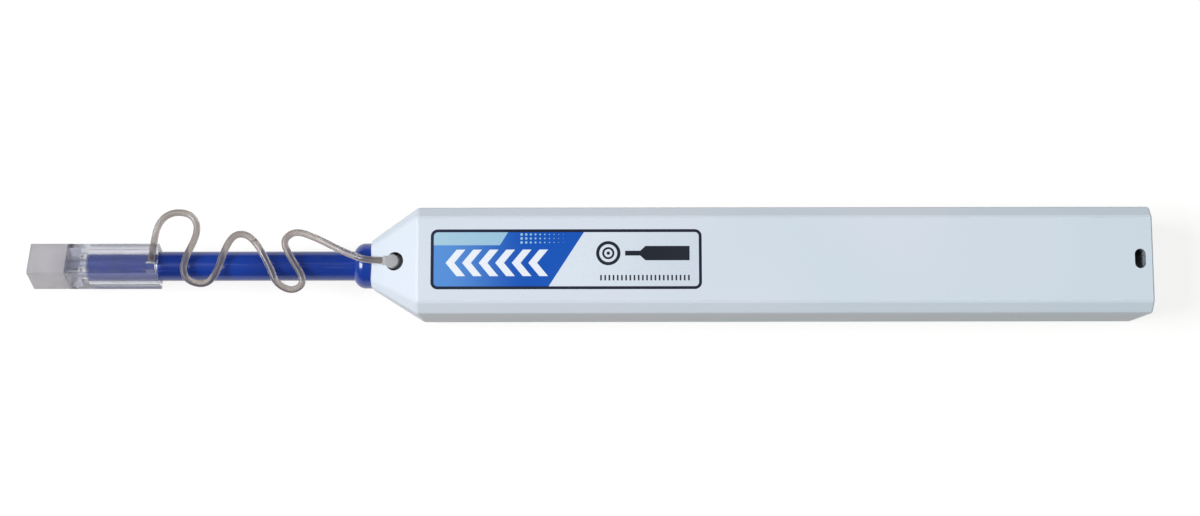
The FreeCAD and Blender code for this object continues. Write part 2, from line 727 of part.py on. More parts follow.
def tip_thread():
    """Loop of thread over the face of the cleaning tip."""
    rear = SPINDLE_X - TIP_SPIGOT_LENGTH
    front = TIP_X - THREAD_R
    spread = TIP_BODY_X + THREAD_SPREADS_AT
    leg = [(rear, THREAD_HALF_GAP), (spread, THREAD_AT_TIP), (front, THREAD_AT_TIP)]
    points = [(x, y, AXIS_Z) for x, y in leg]
    points += [(x, -y, AXIS_Z) for x, y in reversed(leg)]
    return route_strand(points, THREAD_R, THREAD_TIP_TURN_R)


def flat_chord(x0, x1, height):
    """What a drive flat takes off a round bar: all that lies above height."""
    reach = SPINDLE_R + CUTTER_OVERSIZE
    return box(x0, x1, -reach, reach, AXIS_Z + height, AXIS_Z + reach)


def groove_cutter():
    """Screw-shaped cutter of the cam groove."""
    lead = PUSH_STROKE * 360 / TIP_TURN
    overrun = lead * GROOVE_OVERRUN / 360
    helix = Part.makeHelix(lead, PUSH_STROKE + 2 * overrun, GROOVE_FLOOR_R)
    half_width = GROOVE_WIDTH / 2
    outside = ROTOR_R + CUTTER_OVERSIZE
    corners = [Vec(r, 0, z) for r, z in (
        (GROOVE_FLOOR_R, -half_width), (outside, -half_width),
        (outside, half_width), (GROOVE_FLOOR_R, half_width),
    )]
    profile = Part.makePolygon(corners + corners[:1])
    cutter = Part.Wire(helix.Edges).makePipeShell([profile], True, True)
    cutter.rotate(Vec(0, 0, 0), Vec(0, 1, 0), 90)
    cutter.rotate(Vec(0, 0, 0), Vec(1, 0, 0), 180 - TIP_TURN - GROOVE_OVERRUN)
    cutter.translate(Vec(FOLLOWER_X - PUSH_STROKE - overrun, 0, AXIS_Z))
    return cutter


def rotor_sleeve():
    """Barrel with the cam groove, a journal at each end and the spindle's bore."""
    front = ROTOR_X - REAR_BULKHEAD
    rear = ROTOR_REAR_X + REAR_BULKHEAD
    barrel = rod(ROTOR_X, ROTOR_REAR_X, ROTOR_R)
    body = fuse(barrel, rod(front, rear, JOURNAL_R))
    step = SPINDLE_REAR_X + TIP_SPRING_LENGTH
    bore = rod(front, step, SPINDLE_R + RUNNING)
    bore = cut(bore, flat_chord(front, step, DRIVE_FLAT + RUNNING))
    return cut(body, bore, rod(front, rear, THREAD_HOLE_R), groove_cutter())


def spindle():
    """Tube that carries the thread and turns the tip."""
    bore = rod(SPINDLE_X, SPINDLE_REAR_X, SPINDLE_BORE_R)
    flat = flat_chord(SPINDLE_REAR_X - DRIVE_FLAT_LENGTH, SPINDLE_REAR_X, DRIVE_FLAT)
    return cut(rod(SPINDLE_X, SPINDLE_REAR_X, SPINDLE_R), bore, flat)


def tip_head():
    """Cleaning tip: spigot, body, shank and bare end, with a groove for each leg of thread."""
    bare_end = TIP_X + TIP_BARE
    body = fuse(
        rod(TIP_X, bare_end, TIP_R),
        rod(bare_end, TIP_BODY_X, TIP_SHANK_R),
        rod(TIP_BODY_X, SPINDLE_X, TIP_BODY_R),
        rod(SPINDLE_X, SPINDLE_X + TIP_SPIGOT_LENGTH, SPINDLE_BORE_R),
    )
    bore = rod(TIP_BODY_X + TIP_FACE_WALL, SPINDLE_X + TIP_SPIGOT_LENGTH, TIP_BORE_R)
    half_groove = TIP_GROOVE / 2
    low = AXIS_Z - half_groove
    grooves = []
    for side in (-1, 1):
        near, far = sorted((side * TIP_GROOVE_FLOOR, side * (TIP_SHANK_R + RUNNING)))
        run_in = TIP_BODY_X + TIP_GROOVE_RUN_IN
        grooves.append(box(TIP_X, run_in, near, far, low, low + TIP_GROOVE))
    return cut(body, bore, *grooves)


def coil(x0, x1, coil_r, wire_r, turns):
    """Compression spring along X between two faces."""
    length = x1 - x0 - 2 * wire_r
    helix = Part.makeHelix(length / turns, length, coil_r)
    ring = facet_ring(wire_r, WIRE_SIDES, Vec(coil_r, 0, 0), Vec(0, 1, 0))
    spring = Part.Wire(helix.Edges).makePipeShell([ring], True, True)
    spring.rotate(Vec(0, 0, 0), Vec(0, 1, 0), 90)
    spring.translate(Vec(x0 + wire_r, 0, AXIS_Z))
    return spring


def reel(x, radius):
    """Flanged reel with windows, on its pin."""
    inner = REEL_PIN_R + RUNNING
    low = REEL_Z + REEL_FLANGE
    high = REEL_TOP_Z - REEL_FLANGE
    outline = [
        (inner, REEL_Z), (radius, REEL_Z), (radius, low), (REEL_HUB_R, low),
        (REEL_HUB_R, high), (radius, high), (radius, REEL_TOP_Z), (inner, REEL_TOP_Z),
    ]
    body = turned(outline, (x, 0, 0), (0, 0, 1))
    windows = []
    window_ring = (REEL_HUB_R + radius) / 2
    for i in range(REEL_WINDOWS):
        angle = 2 * math.pi * (i + 0.5) / REEL_WINDOWS
        at = (x + window_ring * math.cos(angle), window_ring * math.sin(angle))
        windows.append(post(*at, REEL_Z, REEL_TOP_Z, REEL_WINDOW_R))
    return cut(body, *windows)


def ratchet_ring():
    """Room between the ratchet teeth, cut from the take-up reel's lower flange."""
    corners = []
    step = 2 * math.pi / RATCHET_TEETH
    for i in range(RATCHET_TEETH):
        angle = i * step
        for radius, turn in ((TAKE_UP_R - RATCHET_DEPTH, 0.0), (TAKE_UP_R, RATCHET_TOOTH_SHARE * step)):
            x = TAKE_UP_X + radius * math.cos(angle + turn)
            y = radius * math.sin(angle + turn)
            corners.append(Vec(x, y, REEL_Z))
    star = Part.Face(Part.makePolygon(corners + corners[:1])).extrude(Vec(0, 0, REEL_FLANGE))
    return cut(post(TAKE_UP_X, 0, REEL_Z, REEL_Z + REEL_FLANGE, TAKE_UP_R + 1), star)


def take_up_reel():
    """Reel that winds up the used thread, with ratchet teeth on its lower flange."""
    return cut(reel(TAKE_UP_X, TAKE_UP_R), ratchet_ring())


def thread_pack(x, radius):
    """Wound thread between a reel's flanges."""
    low = REEL_Z + REEL_FLANGE
    high = REEL_TOP_Z - REEL_FLANGE
    return cut(post(x, 0, low, high, radius), post(x, 0, low, high, REEL_HUB_R))


def involute_point(base, angle):
    """Point of the involute of the base circle, as radius and polar angle."""
    radius = base * math.hypot(1, angle)
    return radius, angle - math.atan(angle)


def drive_pinion():
    """Pinion with involute teeth. One of its gaps takes a tooth of the rack."""
    base = PITCH_R * math.cos(math.radians(PRESSURE_ANGLE))
    outer = PITCH_R + GEAR_ADDENDUM
    root = PITCH_R - GEAR_DEDENDUM
    at_pitch = math.tan(math.radians(PRESSURE_ANGLE))
    half_tooth = math.pi / PINION_TEETH / 2 - GEAR_BACKLASH / 4 / PITCH_R
    half_base = half_tooth + at_pitch - math.atan(at_pitch)
    last = math.sqrt((outer / base) ** 2 - 1)
    flank = [(root, half_base)]
    for i in range(INVOLUTE_POINTS):
        radius, turn = involute_point(base, last * i / (INVOLUTE_POINTS - 1))
        flank.append((radius, half_base - turn))
    tooth = [(r, -a) for r, a in flank] + [(r, a) for r, a in reversed(flank)]
    corners = []
    for i in range(PINION_TEETH):
        middle = -math.pi / 2 + (i + 0.5) * 2 * math.pi / PINION_TEETH
        for radius, angle in tooth:
            x = TAKE_UP_X + radius * math.cos(middle + angle)
            corners.append(Vec(x, radius * math.sin(middle + angle), PINION_Z))
    face = Part.Face(Part.makePolygon(corners + corners[:1]))
    body = face.extrude(Vec(0, 0, PINION_THICK))
    return cut(body, post(TAKE_UP_X, 0, PINION_Z, REEL_Z, REEL_PIN_R + RUNNING))


def cone_washer(x):
    """Conical spring washer under a reel."""
    low = REEL_Z - WASHER_HIGH
    outline = [
        (WASHER_BORE_R, REEL_Z - WASHER_THICK), (WASHER_R, low),
        (WASHER_R, low + WASHER_THICK), (WASHER_BORE_R, REEL_Z),
    ]
    return turned(outline, (x, 0, 0), (0, 0, 1))


def click_pawl():
    """Leaf pawl on the column, whose hooked end rests between two ratchet teeth."""
    low = REEL_Z
    high = REEL_Z + REEL_FLANGE - PAWL_SIDE_GAP
    column = post(COLUMN_X, 0, low, high, COLUMN_R)
    ring = post(COLUMN_X, 0, low, high, COLUMN_SHOULDER_R)
    reach = TAKE_UP_R + PAWL_GAP
    angle = math.radians(PAWL_ANGLE)
    tip = Vec(TAKE_UP_X + reach * math.cos(angle), reach * math.sin(angle), low)
    ahead = Vec(1, 1, 0).normalize()
    aside = Vec(-1, 1, 0).normalize() * PAWL_THICK
    start = tip - ahead * PAWL_LENGTH
    leaf = Part.makePolygon([start, tip, tip + aside, start + aside, start])
    leaf = Part.Face(leaf).extrude(Vec(0, 0, high - low))
    return cut(fuse(ring, leaf), column)


def cap_frame(shape):
    """Turns a piece that is drawn square with the axes into the cap's own position."""
    shape = shape.copy()
    shape.rotate(Vec(0, 0, 0), Vec(1, 0, 0), CAP_TURN)
    shape.translate(Vec(0, 0, AXIS_Z))
    return shape


def square_bar(x0, x1, side, corner=0.0):
    """Square bar along X about the nozzle's axis, with round long edges."""
    reach = side / 2
    bar = box(x0, x1, -reach, reach, -reach, reach)
    if not corner:
        return bar
    long_edges = [e for e in bar.Edges if abs(e.tangentAt(e.FirstParameter).x) > 0.9]
    return bar.makeFillet(corner, long_edges)


def hinge_knuckle(y0, y1, web_x0, web_x1):
    """Knuckle of the lid's hinge with the web that joins it to its piece."""
    round_part = Part.makeCylinder(KNUCKLE_R, y1 - y0, Vec(CAP_FRONT_X, y0, HINGE_Z), Vec(0, 1, 0))
    web = box(web_x0, web_x1, y0, y1, HINGE_Z, -CAP_SIDE / 2 + 0.1)
    return fuse(round_part, web)


def hinge_hole():
    """Room of the hinge pin."""
    reach = KNUCKLE_HALF + KNUCKLE_GAP + KNUCKLE_LONG
    start = Vec(CAP_FRONT_X, -reach, HINGE_Z)
    return Part.makeCylinder(HINGE_PIN_R, 2 * reach, start, Vec(0, 1, 0))


def tether_lug():
    """Block on the cap in which the tether is moulded."""
    top = CAP_SIDE / 2
    inner = LUG_FROM_SIDE - top
    block = box(CAP_REAR_X - LUG_LONG, CAP_REAR_X, inner - LUG_LONG, inner, top - 0.2, top + LUG_HIGH)
    across = [e for e in block.Edges if e.BoundBox.ZMin > top + LUG_HIGH - 0.01]
    return block.makeFillet(LUG_ROUND, across)


def guide_cap():
    """Clear cap with the tube's bore, the connector's recess and the ferrule sleeve."""
    outer = square_bar(CAP_FRONT_X, CAP_REAR_X, CAP_SIDE, CAP_EDGE_ROUND)
    tube_room = rod(WEB_X, CAP_REAR_X, TUBE_R + RUNNING, 0, 0)
    recess = square_bar(CAP_FRONT_X, RECESS_X, CAP_RECESS)
    sleeve_x = CAP_FRONT_X - FERRULE_SLEEVE_REACH
    sleeve = rod(sleeve_x, RECESS_X + 0.1, FERRULE_SLEEVE_R, 0, 0)
    web_x = CAP_FRONT_X + KNUCKLE_GAP
    knuckles = []
    near = KNUCKLE_HALF + KNUCKLE_GAP
    for y0 in (near, -near - KNUCKLE_LONG):
        knuckles.append(hinge_knuckle(y0, y0 + KNUCKLE_LONG, web_x, web_x + HINGE_WEB))
    body = fuse(cut(outer, recess), sleeve, tether_lug(), *knuckles)
    bore = rod(sleeve_x, sleeve_x + FERRULE_BORE_LENGTH, FERRULE_BORE_R, 0, 0)
    behind = rod(sleeve_x + FERRULE_BORE_LENGTH, WEB_X, TIP_CLEARANCE_R, 0, 0)
    return cap_frame(cut(body, tube_room, bore, behind, hinge_hole()))


def cap_lid():
    """Frosted lid, hinged on the underside of the guide cap."""
    outer = square_bar(LID_FRONT_X, CAP_FRONT_X, CAP_SIDE, CAP_EDGE_ROUND)
    hollow = square_bar(LID_FRONT_X + LID_FRONT_WALL, CAP_FRONT_X, CAP_SIDE - 2 * LID_WALL)
    web_x = CAP_FRONT_X - KNUCKLE_GAP
    knuckle = hinge_knuckle(-KNUCKLE_HALF, KNUCKLE_HALF, web_x - HINGE_WEB, web_x)
    body = cut(fuse(outer, knuckle), hollow)
    wider = Part.makeCylinder(
        HINGE_PIN_R + RUNNING, 2 * KNUCKLE_HALF, Vec(CAP_FRONT_X, -KNUCKLE_HALF, HINGE_Z), Vec(0, 1, 0)
    )
    return cap_frame(cut(body, wider))


def tether():
    """Clear strand between the guide cap and the case."""
    wire, radii = route_wire(TETHER_ROUTE)
    length = wire.Length
    start = Vec(*TETHER_ROUTE[0])
    ring = facet_ring(TETHER_R, TETHER_SIDES, start, Vec(*TETHER_ROUTE[1]) - start)
    tube = wire.makePipeShell([ring], True, False)
    section = Part.Face(ring).Area
    print("tether radii", [round(r, 2) for r in radii])
    print("tether length", round(length, 2), "volume ratio", round(tube.Volume / (section * length), 4))
    return tube


PARTS = {
    "case_upper": case_upper,
    "case_lower": case_lower,
    "label": label_plate,
    "nose_bushing": nose_bushing,
    "cam_follower": cam_follower,
    "tether_knob": tether_knob,
    "chassis": chassis,
    "nozzle_tube": nozzle_tube,
    "reel_cover": reel_cover,
    "thread_guide_pins": lambda: Part.makeCompound(thread_pins()),
    "rotor_bearing_front": lambda: bearing(BEARING_X, CHASSIS_X + FRONT_BULKHEAD),
    "rotor_bearing_rear": lambda: bearing(REAR_BULKHEAD_X, REAR_BULKHEAD_X + REAR_BULKHEAD),
    "thread_run": thread_run,
    "reel_brake_washer": lambda: cone_washer(SUPPLY_X),
    "click_pawl": click_pawl,
    "return_spring": lambda: coil(SPRING_X, SEAT_X, RETURN_COIL_R, RETURN_WIRE_R, RETURN_TURNS),
    "rotor_sleeve": rotor_sleeve,
    "spindle": spindle,
    "tip_head": tip_head,
    "tip_thread": tip_thread,
    "tip_spring": lambda: coil(
        SPINDLE_REAR_X, SPINDLE_REAR_X + TIP_SPRING_LENGTH, TIP_COIL_R, TIP_WIRE_R, TIP_TURNS
    ),
    "take_up_reel": take_up_reel,
    "used_thread_pack": lambda: thread_pack(TAKE_UP_X, USED_PACK_R),
    "drive_pinion": drive_pinion,
    "clutch_washer": lambda: cone_washer(TAKE_UP_X),
    "supply_reel": lambda: reel(SUPPLY_X, SUPPLY_R),
    "supply_thread_pack": lambda: thread_pack(SUPPLY_X, SUPPLY_PACK_R),
    "guide_cap": guide_cap,
    "cap_lid": cap_lid,
    "lid_hinge_pin": lambda: cap_frame(hinge_hole()),
    "tether": tether,
}

os.makedirs("parts", exist_ok=True)
for name, make in PARTS.items():
    shape = make()
    shape.exportStep(f"parts/{name}.step")
    print(f"{name}: {len(shape.Solids)} solid(s), valid {shape.isValid()}, {shape.Volume:.2f} mm3")
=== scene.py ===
# %% [markdown]
# # A fibre connector cleaning pen, dressed
# The pen is a push case of satin white plastic with a blue nozzle. A clear guide cap and its frosted
# lid sit on the nozzle, held to the case by a clear strand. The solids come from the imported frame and
# never move here. This lesson gives them their finishes, adds the printed label, the strand, the springs
# and the wound thread, and then sets up a plain studio.
# %% Load the frame
import json
import math

import bmesh
import bpy
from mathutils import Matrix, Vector

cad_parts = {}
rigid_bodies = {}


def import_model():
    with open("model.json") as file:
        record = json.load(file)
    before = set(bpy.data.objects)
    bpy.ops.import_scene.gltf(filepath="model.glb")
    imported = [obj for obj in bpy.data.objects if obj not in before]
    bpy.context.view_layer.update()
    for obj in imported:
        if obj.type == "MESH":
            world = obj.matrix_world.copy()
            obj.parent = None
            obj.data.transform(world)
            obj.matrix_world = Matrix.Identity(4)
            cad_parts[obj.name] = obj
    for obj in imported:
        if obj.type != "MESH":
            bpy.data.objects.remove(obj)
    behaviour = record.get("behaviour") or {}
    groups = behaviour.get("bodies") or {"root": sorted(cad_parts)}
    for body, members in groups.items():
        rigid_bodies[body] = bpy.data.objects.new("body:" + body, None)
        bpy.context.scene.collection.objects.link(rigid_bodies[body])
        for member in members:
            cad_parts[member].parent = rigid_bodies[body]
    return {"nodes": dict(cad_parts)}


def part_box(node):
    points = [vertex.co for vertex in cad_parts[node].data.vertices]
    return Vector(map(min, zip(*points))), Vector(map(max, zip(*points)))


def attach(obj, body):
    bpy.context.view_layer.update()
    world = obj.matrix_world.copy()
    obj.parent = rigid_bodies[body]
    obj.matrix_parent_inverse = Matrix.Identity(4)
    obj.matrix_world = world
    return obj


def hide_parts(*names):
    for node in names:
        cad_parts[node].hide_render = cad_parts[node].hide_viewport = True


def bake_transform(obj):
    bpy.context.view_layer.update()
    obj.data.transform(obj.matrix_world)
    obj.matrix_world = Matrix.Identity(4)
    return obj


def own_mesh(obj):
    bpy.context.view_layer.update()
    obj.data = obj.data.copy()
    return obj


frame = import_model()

for leftover in [o for o in bpy.data.objects if o.name in ("Cube", "Camera", "Light")]:
    bpy.data.objects.remove(leftover)
MM = 0.001
NODES = frame["nodes"]
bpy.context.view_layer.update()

# %% [markdown]
# ## Colours and small helpers
# A paint is written as the three screen values that a person reads off a colour card. Shaders want linear
# light, so each value goes through the standard curve once, here, and nowhere else.
# %% Paints
def paint(red, green, blue):
    """Screen values from 0 to 255 as a linear colour."""
    linear = []
    for value in (red, green, blue):
        share = value / 255
        low = share <= 0.04045
        linear.append(share / 12.92 if low else ((share + 0.055) / 1.055) ** 2.4)
    return (*linear, 1.0)


CASE_PAINT = paint(217, 223, 230)
CASE_COOL_PAINT = paint(209, 220, 227)
CASE_RUBBED_PAINT = paint(231, 236, 240)
# Near-black paint for the painted shade in the case's deep recesses.
CASE_SHADED_PAINT = paint(34, 27, 25)
NOZZLE_PAINT = paint(8, 55, 150)
NOZZLE_DEEP_PAINT = paint(4, 42, 126)
NOZZLE_RUBBED_PAINT = paint(52, 92, 180)
print("case paint, linear", [round(v, 3) for v in CASE_PAINT[:3]])

# %% [markdown]
# ## Effects that several finishes share
# Moulded plastic is never one flat colour: it has a fine grain from the mould's steel, a slow drift of
# colour where the melt flowed, pale rubbed edges and a few hairlines from use. Each effect is a node group
# with named inputs, built once. A material places the group and chooses its own values, so that two
# plastics can share the same kind of wear without looking alike.
# %% A helper that starts a node group
def start_group(name, inputs, outputs):
    """Empty shader group with float inputs {name: value} and float outputs."""
    group = bpy.data.node_groups.new(name, "ShaderNodeTree")
    for title, value in inputs.items():
        socket = group.interface.new_socket(title, in_out="INPUT", socket_type="NodeSocketFloat")
        socket.default_value = value
    for title in outputs:
        group.interface.new_socket(title, in_out="OUTPUT", socket_type="NodeSocketFloat")
    entry = group.nodes.new("NodeGroupInput")
    result = group.nodes.new("NodeGroupOutput")
    return group, entry, result


def math_node(tree, operation, first, second=None):
    """Math node whose inputs are sockets or numbers. Returns its output."""
    node = tree.nodes.new("ShaderNodeMath")
    node.operation = operation
    for place, value in zip(node.inputs, (first, second)):
        if isinstance(value, bpy.types.NodeSocket):
            tree.links.new(value, place)
        elif value is not None:
            place.default_value = value
    return node.outputs[0]


def span(tree, value, from_low, from_high, to_low=0.0, to_high=1.0):
    """Maps a value from one range to another, smoothly at both ends, and keeps it inside."""
    node = tree.nodes.new("ShaderNodeMapRange")
    node.interpolation_type = "SMOOTHSTEP"
    tree.links.new(value, node.inputs["Value"])
    titles = ("From Min", "From Max", "To Min", "To Max")
    for title, limit in zip(titles, (from_low, from_high, to_low, to_high)):
        node.inputs[title].default_value = limit
    return node.outputs["Result"]


def own_place(tree, stretch=(1, 1, 1), turn=(0, 0, 0)):
    """The piece's own coordinates, stretched and turned."""
    place = tree.nodes.new("ShaderNodeTexCoord")
    mapping = tree.nodes.new("ShaderNodeMapping")
    mapping.inputs["Rotation"].default_value = turn
    mapping.inputs["Scale"].default_value = stretch
    tree.links.new(place.outputs["Object"], mapping.inputs["Vector"])
    return mapping.outputs["Vector"]


def noise(tree, vector, scale, detail=2.0):
    """Noise node on a vector. Scale is a number or a socket. Returns the value output."""
    node = tree.nodes.new("ShaderNodeTexNoise")
    node.inputs["Detail"].default_value = detail
    tree.links.new(vector, node.inputs["Vector"])
    if isinstance(scale, bpy.types.NodeSocket):
        tree.links.new(scale, node.inputs["Scale"])
    else:
        node.inputs["Scale"].default_value = scale
    return node.outputs["Fac"]


print("helpers ready")

# %% [markdown]
# ### Mould grain
# A spark-eroded mould leaves a grain of a few tenths of a millimetre, and the plastic's colour drifts over
# centimetres. One fine noise gives a height for a Bump node, and one slow noise gives the drift.
# %% Build the grain group
def build_grain():
    group, entry, result = start_group(
        "mould grain", {"Grains per metre": 3500.0, "Drift per metre": 30.0}, ("Height", "Drift")
    )
    place = own_place(group)
    fine = noise(group, place, entry.outputs["Grains per metre"], 3.0)
    group.links.new(fine, result.inputs["Height"])
    slow = noise(group, place, entry.outputs["Drift per metre"], 1.0)
    group.links.new(span(group, slow, 0.35, 0.65), result.inputs["Drift"])
    return group


GRAIN = build_grain()
print(GRAIN.name, [s.name for s in GRAIN.interface.items_tree])

# %% [markdown]
# ### Rubbed edges
# Hands and pouches polish the edges first. The Bevel node gives the normal that a rounded edge would have.
# Where it differs from the true normal there is an edge, and the difference is the mask. A slow noise
# breaks the mask up, because wear is never even.
# %% Build the edge group
def build_edges():
    group, entry, result = start_group(
        "rubbed edges", {"Reach": 0.0003, "Strength": 6.0, "Breaks per metre": 220.0}, ("Mask",)
    )
    rounded = group.nodes.new("ShaderNodeBevel")
    rounded.samples = 4
    group.links.new(entry.outputs["Reach"], rounded.inputs["Radius"])
    geometry = group.nodes.new("ShaderNodeNewGeometry")
    meeting = group.nodes.new("ShaderNodeVectorMath")
    meeting.operation = "DOT_PRODUCT"
    group.links.new(rounded.outputs["Normal"], meeting.inputs[0])
    group.links.new(geometry.outputs["Normal"], meeting.inputs[1])
    bend = math_node(group, "SUBTRACT", 1.0, meeting.outputs["Value"])
    strong = math_node(group, "MULTIPLY", bend, entry.outputs["Strength"])
    patchy = noise(group, own_place(group), entry.outputs["Breaks per metre"], 3.0)
    worn = math_node(group, "MULTIPLY", strong, span(group, patchy, 0.3, 0.6, 0.25, 1.0))
    capped = math_node(group, "MINIMUM", worn, 1.0)
    group.links.new(capped, result.inputs["Mask"])
    return group


EDGES = build_edges()
print(EDGES.name, [s.name for s in EDGES.interface.items_tree])

# %% [markdown]
# ### Hairlines
# The case slides in and out of a pouch along its length, so its hairlines run that way. A noise that is
# stretched along X gives long thin streaks, and only its highest crests are kept.
# %% Build the hairline group
def build_hairlines():
    group, entry, result = start_group("hairlines", {"Lines per metre": 900.0, "Rarity": 0.66}, ("Mask",))
    drawn_out = own_place(group, stretch=(0.03, 1.0, 1.0))
    lengthwise = noise(group, drawn_out, entry.outputs["Lines per metre"], 2.0)
    above = math_node(group, "SUBTRACT", lengthwise, entry.outputs["Rarity"])
    sharp = math_node(group, "MULTIPLY", above, 14.0)
    low = math_node(group, "MAXIMUM", sharp, 0.0)
    high = math_node(group, "MINIMUM", low, 1.0)
    group.links.new(high, result.inputs["Mask"])
    return group


HAIRLINES = build_hairlines()
print(HAIRLINES.name, [s.name for s in HAIRLINES.interface.items_tree])

# %% [markdown]
# ### Painted shade in recesses
# Shade is painted into the colour where a spot is shut in: in the strap's slot, in the hole for the strand
# and along the label's edge. The Ambient Occlusion node measures how shut in a spot is, over a short
# distance.
# Only the well hidden spots are kept, so that open faces keep their own colour.
# %% Build the painted recess shade group
def build_recess_shade():
    group, entry, result = start_group("grime in recesses", {"Reach": 0.0014, "Strength": 1.0}, ("Mask",))
    shut_in = group.nodes.new("ShaderNodeAmbientOcclusion")
    shut_in.samples = 6
    shut_in.only_local = True
    group.links.new(entry.outputs["Reach"], shut_in.inputs["Distance"])
    # Painted shade: the mask grows towards one where a spot is well hidden.
    hidden = span(group, shut_in.outputs["AO"], 0.42, 0.80, 1.0, 0.0)
    group.links.new(math_node(group, "MULTIPLY", hidden, entry.outputs["Strength"]), result.inputs["Mask"])
    return group


RECESS_SHADE = build_recess_shade()
print(RECESS_SHADE.name, [s.name for s in RECESS_SHADE.interface.items_tree])

# %% [markdown]
# ## How a finish is put together
# Every finish starts as a Principled shader on its own. The helpers below place a shared group with this
# finish's values, mix two paints by a mask, drive roughness from a mask, and add a bump. What is the same
# all over the surface is set straight on the shader's own socket.
# %% Material helpers
def start_finish(name, **plain):
    """Material with one Principled shader, whose plain values are set by socket name."""
    material = bpy.data.materials.new(name)
    material.use_nodes = True
    tree = material.node_tree
    tree.nodes.clear()
    result = tree.nodes.new("ShaderNodeOutputMaterial")
    shader = tree.nodes.new("ShaderNodeBsdfPrincipled")
    tree.links.new(shader.outputs["BSDF"], result.inputs["Surface"])
    for title, value in plain.items():
        shader.inputs[title.replace("_", " ")].default_value = value
    return material, tree, shader


def place_group(tree, group, **values):
    """The group placed in a material, with this material's own values."""
    node = tree.nodes.new("ShaderNodeGroup")
    node.node_tree = group
    for title, value in values.items():
        node.inputs[title.replace("_", " ")].default_value = value
    return node


def mix_paint(tree, mask, first, second):
    """Colour that goes from first to second with the mask. Either is a paint or a socket."""
    node = tree.nodes.new("ShaderNodeMix")
    node.data_type = "RGBA"
    tree.links.new(mask, node.inputs["Factor"])
    sockets = [s for s in node.inputs if s.type == "RGBA"]
    for place, colour in zip(sockets, (first, second)):
        if isinstance(colour, bpy.types.NodeSocket):
            tree.links.new(colour, place)
        else:
            place.default_value = colour
    return next(s for s in node.outputs if s.type == "RGBA")


def add_bump(tree, shader, height, depth, edge_round=0.0):
    """Bump of a real depth in metres, on edges rounded by edge_round."""
    bump = tree.nodes.new("ShaderNodeBump")
    bump.inputs["Strength"].default_value = 1.0
    bump.inputs["Distance"].default_value = depth
    tree.links.new(height, bump.inputs["Height"])
    if edge_round:
        rounded = tree.nodes.new("ShaderNodeBevel")
        rounded.samples = 4
        rounded.inputs["Radius"].default_value = edge_round
        tree.links.new(rounded.outputs["Normal"], bump.inputs["Normal"])
    tree.links.new(bump.outputs["Normal"], shader.inputs["Normal"])


def dress(material, *names):
    """Gives a finish to CAD nodes through their material slots."""
    for name in names:
        for slot in NODES[name].material_slots:
            slot.material = material
    print(material.name, "on", ", ".join(names))


print("finish helpers ready")

# %% [markdown]
# ## The case: satin white moulding
# Both halves are moulded in a cool white with a satin surface. The two paints drift into each other over
# centimetres, the edges are rubbed paler, the hairlines are a little glossier than the satin round them,
# and the mould's grain is a few thousandths of a millimetre deep. Deep recesses get a near-black painted
# shade.
# %% Case finish
def case_finish():
    material, tree, shader = start_finish("satin_white_moulding", Specular_IOR_Level=0.35)
    grain = place_group(tree, GRAIN, Grains_per_metre=5200.0, Drift_per_metre=26.0)
    edges = place_group(tree, EDGES, Reach=0.00035, Strength=3.0)
    lines = place_group(tree, HAIRLINES, Lines_per_metre=1300.0, Rarity=0.67)
    body = mix_paint(tree, grain.outputs["Drift"], CASE_PAINT, CASE_COOL_PAINT)
    rubbed = mix_paint(tree, edges.outputs["Mask"], body, CASE_RUBBED_PAINT)
    # Painted shade: deep recesses such as the strap's slot go towards the near-black shade paint.
    recess_shade_node = place_group(tree, RECESS_SHADE, Reach=0.0042, Strength=0.97)
    colour_with_painted_shade = mix_paint(tree, recess_shade_node.outputs["Mask"], rubbed, CASE_SHADED_PAINT)
    tree.links.new(colour_with_painted_shade, shader.inputs["Base Color"])
    satin = span(tree, lines.outputs["Mask"], 0.0, 1.0, 0.46, 0.32)
    tree.links.new(satin, shader.inputs["Roughness"])
    add_bump(tree, shader, grain.outputs["Height"], 0.000004, edge_round=0.00012)
    return material


dress(case_finish(), "case_upper", "case_lower")

# %% [markdown]
# ## The nozzle: polished blue moulding
# The tube and the collar are a deep royal blue from a polished mould, so they mirror the lamps. The paint
# is deeper where the flow ran slower, and the sliding tube has fine lines along its travel.
# %% Nozzle finish
def nozzle_finish():
    material, tree, shader = start_finish(
        "polished_blue_moulding", Specular_IOR_Level=0.5, Coat_Roughness=0.12, Coat_Weight=0.25
    )
    grain = place_group(tree, GRAIN, Grains_per_metre=2600.0, Drift_per_metre=70.0)
    edges = place_group(tree, EDGES, Reach=0.00025, Strength=4.0)
    lines = place_group(tree, HAIRLINES, Lines_per_metre=1500.0, Rarity=0.6)
    body = mix_paint(tree, grain.outputs["Drift"], NOZZLE_PAINT, NOZZLE_DEEP_PAINT)
    rubbed = mix_paint(tree, edges.outputs["Mask"], body, NOZZLE_RUBBED_PAINT)
    tree.links.new(rubbed, shader.inputs["Base Color"])
    gloss = span(tree, lines.outputs["Mask"], 0.0, 1.0, 0.24, 0.38)
    tree.links.new(gloss, shader.inputs["Roughness"])
    add_bump(tree, shader, grain.outputs["Height"], 0.000002, edge_round=0.00015)
    return material


NOZZLE_FINISH = nozzle_finish()
dress(NOZZLE_FINISH, "nozzle_tube", "nose_bushing")

